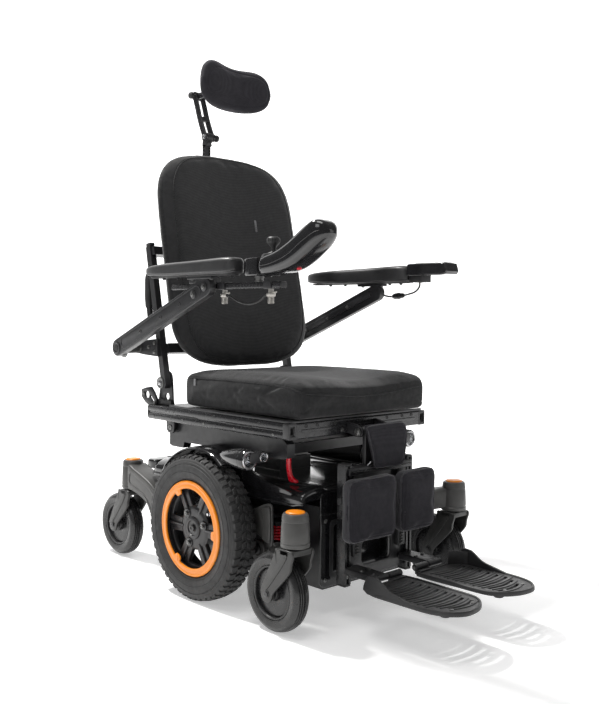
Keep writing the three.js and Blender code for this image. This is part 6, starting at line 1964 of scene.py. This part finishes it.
def footplate():
    out = [(18, -444), (60, -443.4), (135, -443.6), (150, -449), (163, -461), (171.6, -480), (172, -540), (171.6, -600), (168, -632), (158, -660), (142, -678), (128, -687), (112, -690.6), (92, -689.6), (74, -685.6), (54, -676), (38, -663.6), (28, -651), (21.6, -636), (18.6, -612), (18, -560)]
    slots = []
    for k in range(8):
        y = -482 - 23.5 * k
        c = []
        e = 8 if k < 6 else 18
        lo_x, hi_x = (40 + (6 if k > 5 else 0), 152 - (12 if k > 5 else 0) - (14 if k > 6 else 0))
        for i in range(13):
            u = i / 12
            x = lo_x + (hi_x - lo_x) * u
            c.append((x, y - 8 * math.sin(u * pi) + 3.4))
        for i in range(12, -1, -1):
            u = i / 12
            x = lo_x + (hi_x - lo_x) * u
            c.append((x, y - 8 * math.sin(u * pi) - 3.4))
        slots.append(c)
    p = [plate("fp", smooth_loop(out, 3), "z", 96.2, 103.6, "plastic", slots, bev=1.6, res=3)]
    # raised ribs between the slots, and a rolled rim all round
    for k in range(9):
        y = -470.5 - 23.5 * k
        lo_x, hi_x = (38 + (6 if k > 6 else 0), 156 - (16 if k > 6 else 0) - (16 if k > 7 else 0))
        pts = [(lo_x + (hi_x - lo_x) * i / 8, y - 8 * math.sin(i / 8 * pi), 103.4) for i in range(9)]
        p.append(tube("rib", pts, 2.1, "plastic", res=3, n=3))
    rim = smooth_loop(out, 3)
    P = [Vector(q) for q in rim]
    ins = []
    n = len(P)
    for i in range(n):
        t = (P[(i + 1) % n] - P[i - 1]).normalized()
        ins.append((P[i].x + t.y * 3.2, P[i].y - t.x * 3.2, 103.6))
    inside = [q for q in ins]
    # choose the inward side
    cx, cy = 95, -565
    fixed = []
    for i in range(n):
        t = (P[(i + 1) % n] - P[i - 1]).normalized()
        a = (P[i].x + t.y * 3.2, P[i].y - t.x * 3.2)
        b = (P[i].x - t.y * 3.2, P[i].y + t.x * 3.2)
        fixed.append((*(a if math.hypot(a[0] - cx, a[1] - cy) < math.hypot(b[0] - cx, b[1] - cy) else b), 103.4))
    p.append(tube("rim", [*fixed, fixed[0]], 3.0, "plastic", res=4, smooth=False, caps=False))
    # side guard that rises towards the hinge
    g = [(-462, 98), (-455, 126), (-466, 139.4), (-478, 140), (-492, 137.4), (-520, 120), (-556, 112), (-592, 105), (-600, 99)]
    p.append(plate("guard", smooth_loop(g, 3), "x", 165.4, 171.6, "plastic", bev=2, res=3))
    heel = [(135, -444.6, 104), (148, -449.6, 104), (160, -460, 104), (168.6, -478, 104)]
    rings = []
    for z, k in ((103, 0), (118, 0.5), (130, 1.5), (133.8, 3.4)):
        hp = smooth_path([(x, y) for x, y, _ in heel], 4)
        outer = [(x, y, z) for x, y in hp]
        inner_ = [(x - 5.4 + k * 0.6, y - 4.4 + k * 0.4, z) for x, y in reversed(hp)]
        rings.append(outer + inner_)
    p.append(loft("heel", rings, "plastic", 40))
    # hinge barrel, its block and the rubber feet
    p.append(lathe("hb", [(3, 25), (6.8, 25), (8, 26.2), (8, 68.8), (6.8, 70), (3, 70)], "x", (0, -432, 112), "paint", 32))
    p.append(lathe("hbp", [(0, 24), (3.4, 24), (3.4, 71), (0, 71)], "x", (0, -432, 112), "zinc", 20))
    p.append(rbox("hbb", 25.4, 69.6, -449.6, -432.4, 97.4, 108, "paint", 2))
    for x in (60, 130):
        p.append(lathe("foot", [(0, 86.2), (10, 86.2), (12, 88), (12, 94.6), (10.6, 96.6), (0, 96.6)], "z", (x, -640, 0), "rubber", 32))
        p.append(lathe("ftop", [(0, 103.4), (4.2, 103.4), (4.2, 104.6), (3, 105.2), (0, 105.2)], "z", (x, -656, 0), "zinc", 20))
    both(merge("footplate", p), "footplate", "foot_*", ["footplate_*"])


footplate()


# ---------------------------------------------------------- studio and floor
def studio():
    sc = bpy.context.scene
    sc.view_settings.view_transform = "Standard"
    sc.view_settings.look = "None"
    w = bpy.data.worlds.new("studio")
    w.use_nodes = True
    bg = w.node_tree.nodes["Background"]
    bg.inputs["Color"].default_value = (1.0, 1.0, 1.0, 1)
    bg.inputs["Strength"].default_value = 0.16
    sc.world = w

    def area(name, loc, target, size, power, color=(1, 1, 1), size_y=None):
        d = bpy.data.lights.new(name, "AREA")
        d.energy = power
        d.color = color
        d.shape = "RECTANGLE"
        d.size = size
        d.size_y = size_y or size
        o = bpy.data.objects.new(name, d)
        o.location = loc
        o.rotation_euler = (Vector(target) - Vector(loc)).to_track_quat("-Z", "Y").to_euler()
        coll.objects.link(o)
        return o
    area("key", (-0.7, 1.7, 3.6), (0, -0.2, 0.3), 0.28, 165, (1, 0.99, 0.97))
    area("top", (-0.9, -0.4, 3.4), (0, 0, 0.5), 1.5, 34, (1, 0.99, 0.98))
    area("side", (-3.2, -0.4, 2.2), (0, 0, 0.6), 1.2, 13, (0.98, 0.99, 1))
    area("front", (1.6, -3.2, 1.6), (0, 0, 0.6), 1.6, 8)
    # floor that curves up into a plain wall behind the object
    cam = sc.camera.matrix_world
    away = Vector((-cam[0][2], -cam[1][2], 0)).normalized()
    across = Vector((-away.y, away.x, 0))
    prof = [(-7 + 10.2 * i / 34, 0.0) for i in range(35)]
    prof += [(3.2 + 2.2 * math.sin(a * D), 2.2 - 2.2 * math.cos(a * D)) for a in range(6, 91, 6)]
    prof += [(5.4, 2.2 + 1.0 * i) for i in range(1, 5)]
    verts, faces = [], []
    m = 24
    for u, h in prof:
        for k in range(m + 1):
            v = -9 + 18 * k / m
            q = away * u + across * v
            verts.append((q.x, q.y, h))
    for a in range(len(prof) - 1):
        for k in range(m):
            b = a * (m + 1) + k
            faces.append((b, b + 1, b + m + 2, b + m + 1))
    me = bpy.data.meshes.new("floor")
    me.from_pydata(verts, [], faces)
    me.update()
    for f in me.polygons:
        f.use_smooth = True
    white = material("floor_white", (0.86, 0.86, 0.86), 0.6, var=0.01, color2=(0.87, 0.87, 0.87), bump=0.02, bump_scale=60, rough_var=0.04, spec=0.1)
    nt = white.node_tree
    bsdf = [q for q in nt.nodes if q.type == "BSDF_PRINCIPLED"][0]
    geo = nt.nodes.new("ShaderNodeNewGeometry")
    dist = nt.nodes.new("ShaderNodeVectorMath")
    dist.operation = "LENGTH"
    ramp = nt.nodes.new("ShaderNodeMapRange")
    ramp.interpolation_type = "SMOOTHSTEP"
    ramp.inputs["From Min"].default_value = 0.75
    ramp.inputs["From Max"].default_value = 2.0
    ramp.inputs["To Min"].default_value = 0.40
    ramp.inputs["To Max"].default_value = 1.0
    nt.links.new(geo.outputs["Position"], dist.inputs[0])
    nt.links.new(dist.outputs["Value"], ramp.inputs["Value"])
    nt.links.new(ramp.outputs["Result"], bsdf.inputs["Emission Strength"])
    bsdf.inputs["Emission Color"].default_value = (1, 1, 1, 1)
    floor = obj("floor", me, white)
    floor.location.z = -0.0006
    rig.stage(floor)


studio()

lo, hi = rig.bounds()
import json
json.dump({"cad": [list(cad_box[0]), list(cad_box[1])], "visual": [list(lo), list(hi)]}, open("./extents.json", "w"))
